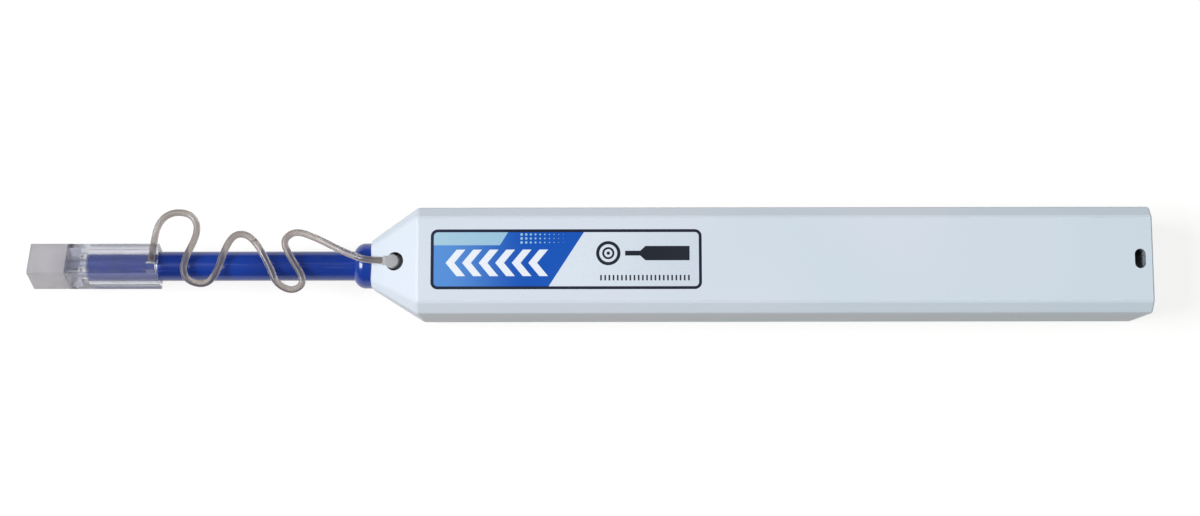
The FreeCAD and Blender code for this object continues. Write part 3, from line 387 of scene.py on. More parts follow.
# %% [markdown]
# ## Clear and frosted plastic
# The guide cap, the knob and the strand are clear acrylic-like plastic, and the lid is the same kind of
# plastic from a blasted mould. Glass in a renderer blocks direct light from what lies behind it, so each
# of these shaders lets shadow rays through with a Transparent shader. The nozzle inside the cap is then
# lit as it would be in the hand.
# %% Clear finishes
def let_light_through(tree, shader, tint):
    """Shadow rays pass the piece with a light tint, and every other ray meets the plastic."""
    path = tree.nodes.new("ShaderNodeLightPath")
    clear = tree.nodes.new("ShaderNodeBsdfTransparent")
    clear.inputs["Color"].default_value = tint
    both = tree.nodes.new("ShaderNodeMixShader")
    tree.links.new(path.outputs["Is Shadow Ray"], both.inputs["Fac"])
    tree.links.new(shader.outputs["BSDF"], both.inputs[1])
    tree.links.new(clear.outputs["BSDF"], both.inputs[2])
    result = next(n for n in tree.nodes if n.type == "OUTPUT_MATERIAL")
    tree.links.new(both.outputs["Shader"], result.inputs["Surface"])


def clear_finish(name, body, ripple, roughness, tint, transmission, grains=900.0, depth=0.000004):
    """See-through moulding: two body paints that drift, a ripple in its gloss, and a faint surface grain."""
    material, tree, shader = start_finish(name, IOR=1.49, Transmission_Weight=transmission)
    grain = place_group(tree, GRAIN, Grains_per_metre=grains, Drift_per_metre=260.0)
    colour = mix_paint(tree, grain.outputs["Drift"], body, ripple)
    tree.links.new(colour, shader.inputs["Base Color"])
    rough = span(tree, grain.outputs["Drift"], 0.0, 1.0, roughness, roughness * 1.5)
    tree.links.new(rough, shader.inputs["Roughness"])
    add_bump(tree, shader, grain.outputs["Height"], depth)
    let_light_through(tree, shader, tint)
    return material


CAP_FINISH = clear_finish(
    "clear_cap_moulding", paint(219, 220, 229), paint(210, 211, 220), 0.15, paint(226, 226, 228),
    transmission=0.957, grains=1400.0,
)
FROSTED_FINISH = clear_finish(
    "frosted_lid_moulding", paint(219, 215, 217), paint(210, 206, 208), 0.3, paint(212, 212, 214),
    transmission=0.62, grains=4200.0, depth=0.00001,
)
STRAND_FINISH = clear_finish(
    "clear_strand_plastic", paint(176, 167, 162), paint(160, 151, 146), 0.24, paint(190, 186, 184),
    transmission=0.84, depth=0.000001,
)
KNOB_FINISH = clear_finish(
    "milky_knob_moulding", paint(226, 225, 226), paint(214, 213, 214), 0.16, paint(180, 180, 180),
    transmission=0.45,
)
dress(CAP_FINISH, "guide_cap")
dress(FROSTED_FINISH, "cap_lid")
dress(KNOB_FINISH, "tether_knob")

# %% [markdown]
# ## Metal, thread and the inner mouldings
# These pieces show only through the clear cap or with the case apart, but each is finished as it really is.
# Drawn wire and ground pins carry fine lines along their length, brass has a warmer drift, the inner frame
# is a plain dark moulding, and the thread is a twisted yarn, so its height is a slanted wave.
# %% Inner finishes
def metal_finish(name, bright, dull, roughness):
    material, tree, shader = start_finish(name, Metallic=1.0)
    grain = place_group(tree, GRAIN, Grains_per_metre=6000.0, Drift_per_metre=400.0)
    lines = place_group(tree, HAIRLINES, Lines_per_metre=4000.0, Rarity=0.5)
    tree.links.new(mix_paint(tree, grain.outputs["Drift"], bright, dull), shader.inputs["Base Color"])
    rough = span(tree, lines.outputs["Mask"], 0.0, 1.0, roughness, roughness + 0.14)
    tree.links.new(rough, shader.inputs["Roughness"])
    add_bump(tree, shader, grain.outputs["Height"], 0.000001)
    return material


def plain_moulding(name, body, deep, rubbed, roughness):
    material, tree, shader = start_finish(name, Specular_IOR_Level=0.4)
    grain = place_group(tree, GRAIN, Grains_per_metre=4500.0, Drift_per_metre=90.0)
    edges = place_group(tree, EDGES, Reach=0.0002, Strength=3.0)
    flow = mix_paint(tree, grain.outputs["Drift"], body, deep)
    tree.links.new(mix_paint(tree, edges.outputs["Mask"], flow, rubbed), shader.inputs["Base Color"])
    rough = span(tree, grain.outputs["Drift"], 0.0, 1.0, roughness, roughness + 0.1)
    tree.links.new(rough, shader.inputs["Roughness"])
    add_bump(tree, shader, grain.outputs["Height"], 0.000004)
    return material


def yarn_finish(name, lit, shaded, twists_per_metre):
    """Twisted yarn: a wave that runs slantwise along the thread."""
    material, tree, shader = start_finish(name, Roughness=0.8, Sheen_Weight=0.3)
    wave = tree.nodes.new("ShaderNodeTexWave")
    wave.inputs["Scale"].default_value = twists_per_metre
    wave.inputs["Distortion"].default_value = 1.5
    tree.links.new(own_place(tree, turn=(0.0, 0.0, math.radians(35))), wave.inputs["Vector"])
    tree.links.new(mix_paint(tree, wave.outputs["Fac"], shaded, lit), shader.inputs["Base Color"])
    add_bump(tree, shader, wave.outputs["Fac"], 0.00002)
    return material


STEEL_FINISH = metal_finish("drawn_steel", paint(205, 206, 210), paint(180, 182, 187), 0.22)
BRASS_FINISH = metal_finish("turned_brass", paint(214, 182, 112), paint(190, 152, 84), 0.28)
FRAME_FINISH = plain_moulding(
    "dark_frame_moulding", paint(52, 53, 56), paint(42, 43, 46), paint(84, 85, 88), 0.5
)
REEL_FINISH = plain_moulding(
    "ivory_reel_moulding", paint(222, 220, 211), paint(210, 208, 198), paint(236, 235, 228), 0.42
)
TIP_FINISH = plain_moulding(
    "white_tip_moulding", paint(230, 230, 226), paint(218, 218, 214), paint(242, 242, 240), 0.36
)
YARN_FINISH = yarn_finish("twisted_cleaning_yarn", paint(243, 243, 240), paint(206, 206, 204), 2600.0)
dress(STEEL_FINISH, "cam_follower", "thread_guide_pins", "reel_brake_washer", "click_pawl", "spindle",
      "clutch_washer", "lid_hinge_pin")
dress(BRASS_FINISH, "rotor_bearing_front", "rotor_bearing_rear")
dress(FRAME_FINISH, "chassis", "reel_cover", "drive_pinion")
dress(REEL_FINISH, "rotor_sleeve", "take_up_reel", "supply_reel")
dress(TIP_FINISH, "tip_head")
dress(YARN_FINISH, "thread_run", "tip_thread")

# %% [markdown]
# ## Flat printed shapes
# The label is a printed film let into the top of the case. Each field of ink is a closed plate a hundredth
# of a millimetre thick, lying on the one below, so the print keeps its crisp edges at any distance. The
# outlines are short lists of corners, with rounded corners made by arcs.
# %% Plates and rings
def new_object(name, build, material):
    """Object whose mesh is made by build(b), where b is an empty bmesh."""
    mesh = bpy.data.meshes.new(name)
    b = bmesh.new()
    build(b)
    bmesh.ops.recalc_face_normals(b, faces=b.faces)
    b.to_mesh(mesh)
    b.free()
    mesh.materials.append(material)
    obj = bpy.data.objects.new(name, mesh)
    bpy.context.scene.collection.objects.link(obj)
    return obj


def plate(name, outline, low, high, material):
    """Closed plate between two heights."""
    def build(b):
        bottom = [b.verts.new((x, y, low)) for x, y in outline]
        top = [b.verts.new((x, y, high)) for x, y in outline]
        b.faces.new(bottom)
        b.faces.new(top)
        for i in range(len(outline)):
            j = (i + 1) % len(outline)
            b.faces.new((bottom[i], bottom[j], top[j], top[i]))
    return new_object(name, build, material)


def ring_plate(name, outside, inside, low, high, material):
    """Closed ring between two outlines with the same number of corners."""
    def build(b):
        loops = [[b.verts.new((x, y, z)) for x, y in line]
                 for z in (low, high) for line in (outside, inside)]
        low_out, low_in, high_out, high_in = loops
        for first, second in ((low_out, low_in), (low_in, high_in), (high_in, high_out), (high_out, low_out)):
            for i in range(len(first)):
                j = (i + 1) % len(first)
                b.faces.new((first[i], first[j], second[j], second[i]))
    return new_object(name, build, material)


def rounded_box(x0, x1, y0, y1, radius, steps=8):
    """Outline of a rectangle with round corners."""
    points = []
    for quarter, (x, y) in enumerate(((x1, y1), (x0, y1), (x0, y0), (x1, y0))):
        centre_x = x + (radius if x == x0 else -radius)
        centre_y = y + (radius if y == y0 else -radius)
        for step in range(steps + 1):
            angle = math.pi / 2 * (quarter + step / steps)
            points.append((centre_x + radius * math.cos(angle), centre_y + radius * math.sin(angle)))
    return points


def circle(x, y, radius, steps=48):
    """Outline of a circle."""
    turns = [2 * math.pi * i / steps for i in range(steps)]
    return [(x + radius * math.cos(a), y + radius * math.sin(a)) for a in turns]


print("flat shapes ready")

# %% [markdown]
# ## Inks and film
# Printed film is a smooth, slightly glossy sheet. Up close an ink is laid down in fine dots, which shows
# as a very fine mottle, and handling leaves soft smears in the gloss. The blue field fades to a lighter
# blue at its left, as a printed gradient does.
# %% Ink finish
def ink_finish(name, left, right, fade_from, fade_to):
    """Ink that goes from one paint to another along X, with a fine printed mottle."""
    material, tree, shader = start_finish(
        name, Specular_IOR_Level=0.3, Coat_Roughness=0.18, Coat_Weight=0.06
    )
    axes = tree.nodes.new("ShaderNodeSeparateXYZ")
    tree.links.new(own_place(tree), axes.inputs["Vector"])
    fade = mix_paint(tree, span(tree, axes.outputs["X"], fade_from, fade_to), left, right)
    dots = noise(tree, own_place(tree), 9000.0, 0.0)
    darker = mix_paint(tree, span(tree, dots, 0.55, 0.75, 0.0, 0.10), fade, paint(30, 34, 52))
    tree.links.new(darker, shader.inputs["Base Color"])
    smears = noise(tree, own_place(tree, stretch=(0.4, 1.0, 1.0)), 160.0, 3.0)
    tree.links.new(span(tree, smears, 0.3, 0.7, 0.30, 0.42), shader.inputs["Roughness"])
    add_bump(tree, shader, smears, 0.000002)
    return material


LABEL_LOW, LABEL_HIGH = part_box("label")
LABEL_LONG = LABEL_HIGH.x - LABEL_LOW.x
LABEL_WIDE = LABEL_HIGH.y - LABEL_LOW.y
INK_STEP = 0.01 * MM
FILM_TOP = LABEL_HIGH.z - 4 * INK_STEP


def along(share):
    """A place along the label: 0 at its left end, 1 at its right end."""
    return LABEL_LOW.x + LABEL_LONG * share


def across(share):
    """A place across the label: 0 at its lower edge, 1 at its upper edge."""
    return LABEL_LOW.y + LABEL_WIDE * share


def level(step):
    """Height of an ink layer, counted from the film."""
    return FILM_TOP + step * INK_STEP


SILVER_FILM = ink_finish("silver_film", paint(222, 230, 237), paint(212, 220, 228), along(0.5), along(1.0))
BORDER_INK = ink_finish("border_ink", paint(26, 34, 58), paint(24, 30, 50), along(0.0), along(1.0))
BLUE_INK = ink_finish("blue_ink", paint(86, 144, 214), paint(12, 84, 182), along(0.02), along(0.36))
PALE_BLUE_INK = ink_finish(
    "pale_blue_ink", paint(168, 204, 220), paint(156, 196, 218), along(0.0), along(0.3)
)
WHITE_INK = ink_finish("white_ink", paint(240, 243, 247), paint(236, 240, 246), along(0.0), along(0.5))
DARK_INK = ink_finish("dark_ink", paint(28, 32, 42), paint(34, 38, 48), along(0.5), along(1.0))
print("label, mm", round(LABEL_LONG / MM, 2), "by", round(LABEL_WIDE / MM, 2))

# %% [markdown]
# ## The label's film and its fields
# A dark border runs round a silver film. A blue field fills the left of it and ends on a slanted line, and
# a pale strip marks its upper corner. The design is a plain one made for this pen: it says which way to
# push without a word.
# %% Film, border and fields
CORNER = 1.2 * MM
BORDER = 0.5 * MM
INNER_CORNER = CORNER - BORDER

film_outline = rounded_box(LABEL_LOW.x, LABEL_HIGH.x, LABEL_LOW.y, LABEL_HIGH.y, CORNER)
field = (LABEL_LOW.x + BORDER, LABEL_HIGH.x - BORDER, LABEL_LOW.y + BORDER, LABEL_HIGH.y - BORDER)
border_inside = rounded_box(*field, INNER_CORNER)
label_film = plate("label_film", film_outline, LABEL_LOW.z, FILM_TOP, SILVER_FILM)
label_border = ring_plate("label_border", film_outline, border_inside, level(0), level(4), BORDER_INK)

BLUE_TOP_END, BLUE_LOW_END = along(0.565), along(0.435)
left_side = [p for p in border_inside if p[0] < along(0.1)]
blue_outline = left_side + [(BLUE_LOW_END, field[2]), (BLUE_TOP_END, field[3])]
label_blue_field = plate("label_blue_field", blue_outline, level(0), level(1), BLUE_INK)

STRIP_LOW = across(0.735)
STRIP_TOP_END, STRIP_LOW_END = along(0.285), along(0.255)
strip_outline = [p for p in left_side if p[1] > STRIP_LOW]
strip_outline += [(field[0], STRIP_LOW), (STRIP_LOW_END, STRIP_LOW), (STRIP_TOP_END, field[3])]
label_strip = plate("label_strip", strip_outline, level(1), level(2), PALE_BLUE_INK)
print("blue field corners", len(blue_outline), "strip corners", len(strip_outline))

# %% [markdown]
# ## Marks that repeat, with Geometry Nodes
# Arrowheads, gauge ticks and a screen of dots repeat one small shape, so one tree places them. Its inputs
# are the number of copies each way, their spacing, and how much each column shrinks. The tree ends by
# making the copies real and giving them their ink, because an export keeps no instances.
# %% A tree that repeats a shape
def build_repeat_tree():
    tree = bpy.data.node_groups.new("repeat in rows", "GeometryNodeTree")
    sockets = (("Geometry", "Geometry"), ("Columns", "Int"), ("Rows", "Int"), ("Column spacing", "Float"),
               ("Row spacing", "Float"), ("Shrink", "Float"), ("Ink", "Material"))
    for title, kind in sockets:
        tree.interface.new_socket(title, in_out="INPUT", socket_type="NodeSocket" + kind)
    tree.interface.new_socket("Geometry", in_out="OUTPUT", socket_type="NodeSocketGeometry")
    entry = tree.nodes.new("NodeGroupInput").outputs
    result = tree.nodes.new("NodeGroupOutput")
    lines = {}
    ways = (("columns", "Columns", "Column spacing", 0), ("rows", "Rows", "Row spacing", 1))
    for title, count, spacing, axis in ways:
        line = tree.nodes.new("GeometryNodeMeshLine")
        step = tree.nodes.new("ShaderNodeCombineXYZ")
        tree.links.new(entry[spacing], step.inputs[axis])
        tree.links.new(entry[count], line.inputs["Count"])
        tree.links.new(step.outputs["Vector"], line.inputs["Offset"])
        lines[title] = line.outputs["Mesh"]
    index = tree.nodes.new("GeometryNodeInputIndex")
    lost = math_node(tree, "MULTIPLY", index.outputs["Index"], entry["Shrink"])
    scale = tree.nodes.new("ShaderNodeCombineXYZ")
    for axis in (0, 1):
        tree.links.new(math_node(tree, "SUBTRACT", 1.0, lost), scale.inputs[axis])
    scale.inputs["Z"].default_value = 1.0
    column = tree.nodes.new("GeometryNodeInstanceOnPoints")
    tree.links.new(lines["columns"], column.inputs["Points"])
    tree.links.new(entry["Geometry"], column.inputs["Instance"])
    tree.links.new(scale.outputs["Vector"], column.inputs["Scale"])
    rows = tree.nodes.new("GeometryNodeInstanceOnPoints")
    tree.links.new(lines["rows"], rows.inputs["Points"])
    tree.links.new(column.outputs["Instances"], rows.inputs["Instance"])
    real = tree.nodes.new("GeometryNodeRealizeInstances")
    tree.links.new(rows.outputs["Instances"], real.inputs["Geometry"])
    ink = tree.nodes.new("GeometryNodeSetMaterial")
    tree.links.new(real.outputs["Geometry"], ink.inputs["Geometry"])
    tree.links.new(entry["Ink"], ink.inputs["Material"])
    tree.links.new(ink.outputs["Geometry"], result.inputs["Geometry"])
    return tree


def run_tree(name, source, tree, values, shift=(0, 0, 0)):
    """Runs a tree on a source object and returns the result as a plain mesh object, moved by shift."""
    modifier = source.modifiers.new(tree.name, "NODES")
    modifier.node_group = tree
    keys = {s.name: s.identifier for s in tree.interface.items_tree if s.in_out == "INPUT"}
    for title, value in values.items():
        modifier[keys[title]] = value
    bpy.context.view_layer.update()
    graph = bpy.context.evaluated_depsgraph_get()
    mesh = bpy.data.meshes.new_from_object(source.evaluated_get(graph))
    source.modifiers.clear()
    bpy.data.objects.remove(source)
    for vertex in mesh.vertices:
        vertex.co += Vector(shift)
    mesh.name = name
    obj = bpy.data.objects.new(name, mesh)
    bpy.context.scene.collection.objects.link(obj)
    return obj


REPEAT = build_repeat_tree()
print(REPEAT.name, "inputs", [s.name for s in REPEAT.interface.items_tree if s.in_out == "INPUT"])

# %% [markdown]
# ### Arrowheads, dots and ticks
# The white arrowheads point to the cleaning tip, which is the way to push. The dot screen fades out where
# the blue field ends, and the ticks under the pictogram read like a small gauge.
# %% Place the repeated marks
ARROW_HIGH = 4.6 * MM
ARROW_THICK = 1.5 * MM
ARROW_DEEP = 1.9 * MM
arrow_corners = [
    (0, 0), (ARROW_DEEP, -ARROW_HIGH / 2), (ARROW_DEEP + ARROW_THICK, -ARROW_HIGH / 2),
    (ARROW_THICK, 0), (ARROW_DEEP + ARROW_THICK, ARROW_HIGH / 2), (ARROW_DEEP, ARROW_HIGH / 2),
]
ARROWS_AT = (along(0.055), across(0.44), 0)
label_arrows = run_tree(
    "label_arrows", plate("arrow_seed", arrow_corners, level(1), level(3), WHITE_INK), REPEAT,
    {"Columns": 6, "Rows": 1, "Column spacing": 2.85 * MM, "Row spacing": 0.0, "Shrink": 0.0,
     "Ink": WHITE_INK},
    ARROWS_AT,
)
DOT_RADIUS = 0.24 * MM
DOTS_AT = (along(0.335), across(0.78), 0)
label_dots = run_tree(
    "label_dots", plate("dot_seed", circle(0, 0, DOT_RADIUS, 12), level(1), level(2), PALE_BLUE_INK), REPEAT,
    {"Columns": 10, "Rows": 3, "Column spacing": 0.8 * MM, "Row spacing": 0.7 * MM, "Shrink": 0.09,
     "Ink": PALE_BLUE_INK},
    DOTS_AT,
)
TICK_WIDE = 0.28 * MM
TICK_HIGH = 0.95 * MM
TICKS_AT = (along(0.625), across(0.145), 0)
tick_corners = [(0, 0), (TICK_WIDE, 0), (TICK_WIDE, TICK_HIGH), (0, TICK_HIGH)]
label_ticks = run_tree(
    "label_ticks", plate("tick_seed", tick_corners, level(0), level(1), DARK_INK), REPEAT,
    {"Columns": 22, "Rows": 1, "Column spacing": 0.72 * MM, "Row spacing": 0.0, "Shrink": 0.0,
     "Ink": DARK_INK},
    TICKS_AT,
)
print("arrow faces", len(label_arrows.data.polygons), "dot faces", len(label_dots.data.polygons))

# %% [markdown]
# ### The pictogram
# On the silver side a pen's outline points at the end face of a connector, drawn as two rings round a dot.
# %% Rings, dot and pen outline
FACE_X, FACE_Y = along(0.655), across(0.60)
OUTER_RING = (2.1 * MM, 1.55 * MM)
INNER_RING = (1.05 * MM, 0.7 * MM)
CENTRE_DOT = 0.3 * MM


def face_ring(name, radii):
    """Ring of the connector's face, from its outer to its inner radius."""
    outside, inside = (circle(FACE_X, FACE_Y, radius) for radius in radii)
    return ring_plate(name, outside, inside, level(0), level(1), DARK_INK)


label_outer_ring = face_ring("label_outer_ring", OUTER_RING)
label_inner_ring = face_ring("label_inner_ring", INNER_RING)
dot_outline = circle(FACE_X, FACE_Y, CENTRE_DOT, 16)
label_centre_dot = plate("label_centre_dot", dot_outline, level(0), level(1), DARK_INK)

PEN_TIP_X = FACE_X + 2.9 * MM
PEN_TUBE_END, PEN_SHOULDER, PEN_END = PEN_TIP_X + 2.6 * MM, PEN_TIP_X + 3.5 * MM, along(0.955)
PEN_TUBE_HALF, PEN_HALF = 0.42 * MM, 1.25 * MM
upper_half = [
    (PEN_TIP_X, PEN_TUBE_HALF), (PEN_TUBE_END, PEN_TUBE_HALF), (PEN_SHOULDER, PEN_HALF), (PEN_END, PEN_HALF),
]
pen_corners = [(x, FACE_Y + y) for x, y in upper_half] + [(x, FACE_Y - y) for x, y in reversed(upper_half)]
label_pen_mark = plate("label_pen_mark", pen_corners, level(0), level(1), DARK_INK)

LABEL_PIECES = [
    label_film, label_border, label_blue_field, label_strip, label_arrows, label_dots, label_ticks,
    label_outer_ring, label_inner_ring, label_centre_dot, label_pen_mark,
]
for piece in LABEL_PIECES:
    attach(piece, "case")
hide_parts("label")
print("label pieces", len(LABEL_PIECES), "top, mm", round(level(4) / MM, 3))

# %% [markdown]
# ## Coils, with Geometry Nodes
# A spring and a wound reel are the same rule: a wire that follows a helix. The tree takes the helix from a
# Spiral, sweeps a round wire along it, and lays it along the pen or leaves it upright.
# %% A tree that winds a coil
def build_coil_tree():
    tree = bpy.data.node_groups.new("wound coil", "GeometryNodeTree")
    sockets = (("Geometry", "Geometry"), ("Turns", "Float"), ("Coil radius", "Float"), ("Length", "Float"),
               ("Wire radius", "Float"), ("Points per turn", "Int"), ("Wire sides", "Int"), ("Lean", "Float"),
               ("Finish", "Material"))
    for title, kind in sockets:
        tree.interface.new_socket(title, in_out="INPUT", socket_type="NodeSocket" + kind)
    tree.interface.new_socket("Geometry", in_out="OUTPUT", socket_type="NodeSocketGeometry")
    entry = tree.nodes.new("NodeGroupInput").outputs
    result = tree.nodes.new("NodeGroupOutput")
    spiral = tree.nodes.new("GeometryNodeCurveSpiral")
    helix = {"Resolution": "Points per turn", "Rotations": "Turns", "Start Radius": "Coil radius",
             "End Radius": "Coil radius", "Height": "Length"}
    for title, socket in helix.items():
        tree.links.new(entry[socket], spiral.inputs[title])
    section = tree.nodes.new("GeometryNodeCurvePrimitiveCircle")
    tree.links.new(entry["Wire radius"], section.inputs["Radius"])
    tree.links.new(entry["Wire sides"], section.inputs["Resolution"])
    wire = tree.nodes.new("GeometryNodeCurveToMesh")
    wire.inputs["Fill Caps"].default_value = True
    tree.links.new(spiral.outputs["Curve"], wire.inputs["Curve"])
    tree.links.new(section.outputs["Curve"], wire.inputs["Profile Curve"])
    lean = tree.nodes.new("ShaderNodeCombineXYZ")
    tree.links.new(entry["Lean"], lean.inputs["Y"])
    laid = tree.nodes.new("GeometryNodeTransform")
    tree.links.new(wire.outputs["Mesh"], laid.inputs["Geometry"])
    tree.links.new(lean.outputs["Vector"], laid.inputs["Rotation"])
    smooth = tree.nodes.new("GeometryNodeSetShadeSmooth")
    tree.links.new(laid.outputs["Geometry"], smooth.inputs["Geometry"])
    real = tree.nodes.new("GeometryNodeRealizeInstances")
    tree.links.new(smooth.outputs["Geometry"], real.inputs["Geometry"])
    finish = tree.nodes.new("GeometryNodeSetMaterial")
    tree.links.new(real.outputs["Geometry"], finish.inputs["Geometry"])
    tree.links.new(entry["Finish"], finish.inputs["Material"])
    tree.links.new(finish.outputs["Geometry"], result.inputs["Geometry"])
    return tree


def wind(name, start, turns, coil_radius, length, wire_radius, finish, lean=0.0, sides=10, points=28):
    """Coil that starts at a point and runs along Z, or along X when it leans by a quarter turn."""
    seed_mesh = bpy.data.meshes.new(name + "_seed")
    seed = bpy.data.objects.new(name + "_seed", seed_mesh)
    bpy.context.scene.collection.objects.link(seed)
    coil = run_tree(
        name, seed, COIL,
        {"Turns": turns, "Coil radius": coil_radius, "Length": length, "Wire radius": wire_radius,
         "Points per turn": points, "Wire sides": sides, "Lean": lean, "Finish": finish},
        start,
    )
    print(name, "faces", len(coil.data.polygons))
    return coil


COIL = build_coil_tree()

# %% [markdown]
# ### Both springs
# The return spring pushes the nozzle back out of the case, and the small spring presses the cleaning tip
# forward. Each is wound to the size of its solid.
# %% Wind the springs
QUARTER_TURN = math.pi / 2
RETURN_WIRE = 0.3 * MM
TIP_WIRE = 0.13 * MM


def spring(name, node, turns, wire):
    """Spring that fills its solid's box."""
    low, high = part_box(node)
    centre_y, centre_z = (low.y + high.y) / 2, (low.z + high.z) / 2
    coil_radius = (high.y - low.y) / 2 - wire
    coil = wind(name, (low.x + wire, centre_y, centre_z), turns, coil_radius, high.x - low.x - 2 * wire, wire,
                STEEL_FINISH, lean=QUARTER_TURN)
    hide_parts(node)
    return coil, low.x, high.x


return_coil, return_low, return_high = spring("return_coil", "return_spring", 7.0, RETURN_WIRE)
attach(return_coil, "case")
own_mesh(return_coil)
tip_coil, tip_low, tip_high = spring("tip_coil", "tip_spring", 4.0, TIP_WIRE)
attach(tip_coil, "rotor")
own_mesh(tip_coil)

# %% [markdown]
# ### Wound thread
# Fresh thread is wound on the supply reel, and used thread on the take-up reel. Only the outer turns of a
# winding show, so each winding is a plain core with one layer of turns laid over it.
# %% Wind both reels
YARN_RADIUS = 0.125 * MM
REEL_HUB = 0.7


def winding(name, node, body):
    """Core and outer turns that fill a thread pack's solid."""
    low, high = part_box(node)
    centre_x, outer = (low.x + high.x) / 2, (high.y - low.y) / 2
    turns = int((high.z - low.z) / (2 * YARN_RADIUS)) - 1
    start = (centre_x, 0, low.z + YARN_RADIUS)
    coil = wind(name + "_turns", start, float(turns), outer - YARN_RADIUS, high.z - low.z - 2 * YARN_RADIUS,
                YARN_RADIUS, YARN_FINISH, sides=6, points=32)
    core = ring_plate(name + "_core", circle(centre_x, 0, outer - YARN_RADIUS),
                      circle(centre_x, 0, outer * REEL_HUB), low.z, high.z, YARN_FINISH)
    for piece in (coil, core):
        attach(piece, body)
        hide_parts(node)


winding("fresh_thread", "supply_thread_pack", "supply")
winding("used_thread", "used_thread_pack", "take_up")

# %% [markdown]
# ## The clear strand
# A clear plastic strand keeps the guide cap on the pen. It leaves a block on the cap, wanders over the
# nozzle in loose waves and ends in a knob on the case. Its points are the same as in the solid model, given
# to a smooth spline, and a round tube follows points read back from that spline. The case end has to
# follow the nozzle's stroke and the cap end the cap, so the strand is two pieces that meet where both
# follow the nozzle.
# %% Route of the strand
STRAND_ROUTE_MM = (
    (-106.1, 0.10, 13.04), (-106.1, 2.77, 11.91), (-105.3, 7.4, 12.1), (-102.6, 9.3, 12.4),
    (-99.0, 8.7, 12.5), (-97.9, 5.6, 12.7), (-100.6, 0.3, 12.8), (-100.3, -2.7, 12.7),
    (-97.0, -3.9, 12.6), (-94.8, -2.2, 12.7), (-93.2, 3.0, 12.8), (-91.4, 5.5, 12.6),
    (-88.4, 4.7, 12.7), (-85.2, -0.8, 12.8), (-84.3, -3.5, 12.7), (-81.3, -5.0, 12.6),
    (-79.0, -3.2, 12.7), (-82.0, 1.4, 12.8), (-83.2, 4.1, 12.9), (-80.9, 5.8, 13.0),
    (-77.0, 4.3, 13.4), (-73.6, 2.5, 14.0), (-70.6, 1.1, 14.8), (-68.1, 0.2, 15.3), (-65.3, 0.2, 15.3),
)
STRAND_RADIUS = 0.6 * MM
STRAND_SIDES = 24


def strand_line():
    """Points along the strand, read from its spline."""
    curve = bpy.data.curves.new("strand_route", "CURVE")
    curve.dimensions = "3D"
    spline = curve.splines.new("NURBS")
    spline.points.add(len(STRAND_ROUTE_MM) - 1)
    for point, place in zip(spline.points, STRAND_ROUTE_MM):
        point.co = (*(v * MM for v in place), 1.0)
    spline.order_u = 3
    spline.use_endpoint_u = True
    spline.resolution_u = 14
    holder = bpy.data.objects.new("strand_route", curve)
    bpy.context.scene.collection.objects.link(holder)
    bpy.context.view_layer.update()
    mesh = bpy.data.meshes.new_from_object(holder.evaluated_get(bpy.context.evaluated_depsgraph_get()))
    points = [v.co.copy() for v in mesh.vertices]
    bpy.data.objects.remove(holder)
    return points


def line_length(points):
    return sum((b - a).length for a, b in zip(points, points[1:]))


STRAND_LINE = strand_line()
print("strand points", len(STRAND_LINE), "length, mm", round(line_length(STRAND_LINE) / MM, 2))

# %% [markdown]
# A tube along points needs a frame that turns with them but never twists. Each ring keeps the sideways
# direction of the ring before it, made square again to the new heading.
# %% A tube along the line
def tube(name, points, radius, material, sides=STRAND_SIDES):
    """Closed round tube along points."""
    def build(b):
        heading = (points[1] - points[0]).normalized()
        side = heading.orthogonal().normalized()
        rings = []
        for i, point in enumerate(points):
            behind, ahead = points[max(i - 1, 0)], points[min(i + 1, len(points) - 1)]
            heading = (ahead - behind).normalized()
            side = (side - heading * side.dot(heading)).normalized()
            up = heading.cross(side)
            ring = []
            for k in range(sides):
                angle = 2 * math.pi * k / sides
                ring.append(b.verts.new(point + (side * math.cos(angle) + up * math.sin(angle)) * radius))
            rings.append(ring)
        for first, second in zip(rings, rings[1:]):
            for k in range(sides):
                j = (k + 1) % sides
                b.faces.new((first[k], first[j], second[j], second[k])).smooth = True
        b.faces.new(rings[0])
        b.faces.new(rings[-1])
    return new_object(name, build, material)


SPLIT_X = STRAND_ROUTE_MM[12][0] * MM
split = next(i for i, p in enumerate(STRAND_LINE) if p.x > SPLIT_X and i > len(STRAND_LINE) // 3)
cap_end_line, case_end_line = STRAND_LINE[:split + 1], STRAND_LINE[split:]

# %% Both ends of the strand
strand_cap_end = tube("strand_cap_end", cap_end_line, STRAND_RADIUS, STRAND_FINISH)
strand_case_end = tube("strand_case_end", case_end_line, STRAND_RADIUS, STRAND_FINISH)
for piece in (strand_cap_end, strand_case_end):
    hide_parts("tether")
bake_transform(strand_cap_end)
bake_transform(strand_case_end)

# %% [markdown]
# ## The studio
# The pen lies on a plain pale table under soft lamps. The floor is pale grey paint that also glows for the
# camera, so that it photographs white but keeps the soft shadow under the pen. The glow is seen by mirror
# and glass rays too, and lights nothing else.
# %% Floor and world
FLOOR_HALF = 1.6
FLOOR_GLOW = 0.45
FLOOR_GLOW_STRENGTH = 1.80
AMBIENT = 0.20


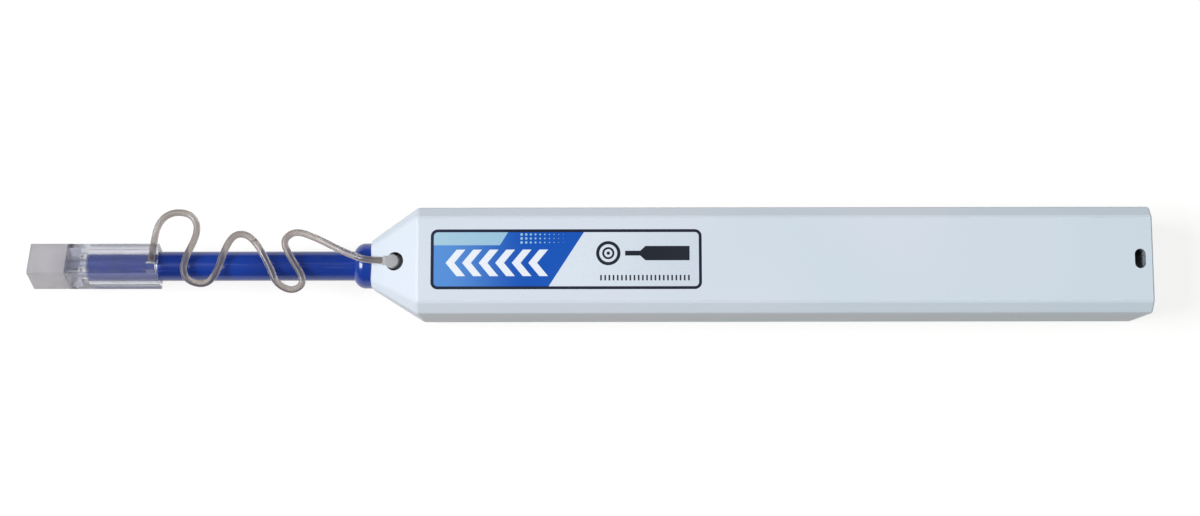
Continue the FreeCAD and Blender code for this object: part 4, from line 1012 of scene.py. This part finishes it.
def floor_finish():
    material, tree, shader = start_finish("pale_table", Roughness=0.7)
    shader.inputs["Base Color"].default_value = paint(172, 168, 163)
    path = tree.nodes.new("ShaderNodeLightPath")
    seen = math_node(tree, "ADD", path.outputs["Is Camera Ray"], path.outputs["Is Glossy Ray"])
    seen = math_node(tree, "ADD", seen, path.outputs["Is Transmission Ray"])
    seen = math_node(tree, "MINIMUM", seen, 1.0)
    share = math_node(tree, "MULTIPLY", seen, FLOOR_GLOW)
    glow = tree.nodes.new("ShaderNodeEmission")
    glow.inputs["Strength"].default_value = FLOOR_GLOW_STRENGTH
    both = tree.nodes.new("ShaderNodeMixShader")
    tree.links.new(share, both.inputs["Fac"])
    tree.links.new(shader.outputs["BSDF"], both.inputs[1])
    tree.links.new(glow.outputs["Emission"], both.inputs[2])
    result = next(n for n in tree.nodes if n.type == "OUTPUT_MATERIAL")
    tree.links.new(both.outputs["Shader"], result.inputs["Surface"])
    return material


floor_corners = [
    (-FLOOR_HALF, -FLOOR_HALF), (FLOOR_HALF, -FLOOR_HALF),
    (FLOOR_HALF, FLOOR_HALF), (-FLOOR_HALF, FLOOR_HALF),
]
floor = plate("table_top", floor_corners, -0.002, 0.0, floor_finish())

world = bpy.data.worlds.new("soft room")
bpy.context.scene.world = world
world.use_nodes = True
room = world.node_tree
room.nodes.clear()
ambient = room.nodes.new("ShaderNodeBackground")
ambient.inputs["Color"].default_value = paint(255, 252, 246)
ambient.inputs["Strength"].default_value = AMBIENT
seen_room = room.nodes.new("ShaderNodeBackground")
seen_room.inputs["Strength"].default_value = 1.0
path = room.nodes.new("ShaderNodeLightPath")
choose = room.nodes.new("ShaderNodeMixShader")
room_out = room.nodes.new("ShaderNodeOutputWorld")
room.links.new(path.outputs["Is Camera Ray"], choose.inputs["Fac"])
room.links.new(ambient.outputs["Background"], choose.inputs[1])
room.links.new(seen_room.outputs["Background"], choose.inputs[2])
room.links.new(choose.outputs["Shader"], room_out.inputs["Surface"])
print("floor, m", 2 * FLOOR_HALF)

# %% [markdown]
# ### Lamps
# The main softbox stands high on the left, where the cleaning tip points, so the sloped nose is the
# brightest face. A weaker one on the right evens out the long case. Both stand outside the mirror direction
# of the flat top, which keeps the print's colours clean, and the side that faces the viewer stays in shade.
# %% Place the lamps
PEN_MIDDLE = Vector((-0.02, 0.0, 0.009))


def softbox(name, place, side, power):
    """Square lamp that looks at the middle of the pen."""
    data = bpy.data.lights.new(name, "AREA")
    data.shape = "RECTANGLE"
    data.size = data.size_y = side
    data.energy = power
    data.color = LAMP_TINT
    lamp = bpy.data.objects.new(name, data)
    lamp.location = place
    lamp.rotation_euler = (PEN_MIDDLE - Vector(place)).to_track_quat("-Z", "Y").to_euler()
    bpy.context.scene.collection.objects.link(lamp)
    print(name, "at", place, "watts", power)


LAMP_TINT = (0.95, 0.99, 1.05)
LEFT_PLACE, RIGHT_PLACE = (-1.30, -0.06, 1.50), (0.98, -0.06, 1.50)
LEFT_SIDE, RIGHT_SIDE = 0.75, 0.7
LEFT_WATTS, RIGHT_WATTS = 35.5, 5.6
softbox("left_softbox", LEFT_PLACE, LEFT_SIDE, LEFT_WATTS)
softbox("right_softbox", RIGHT_PLACE, RIGHT_SIDE, RIGHT_WATTS)

# %% [markdown]
# ### Camera
# The pen is seen from above, a little from the near side, with an ordinary lens at arm's length.
# %% Place the camera
CAMERA_LENS, CAMERA_SENSOR = 58.68, 36.0
CAMERA_PLACE = (-0.0277, -0.0436, 0.3520)
CAMERA_TILT, CAMERA_TURN = math.radians(7.47), math.radians(-0.08)
camera_data = bpy.data.cameras.new("table_camera")
camera_data.lens = CAMERA_LENS
camera_data.sensor_width = CAMERA_SENSOR
camera_data.clip_start = 0.01
camera = bpy.data.objects.new("table_camera", camera_data)
camera.location = CAMERA_PLACE
camera.rotation_euler = (CAMERA_TILT, 0.0, CAMERA_TURN)
bpy.context.scene.collection.objects.link(camera)
bpy.context.scene.camera = camera
bpy.context.scene.view_settings.view_transform = "Standard"
print("camera height, m", camera.location.z)
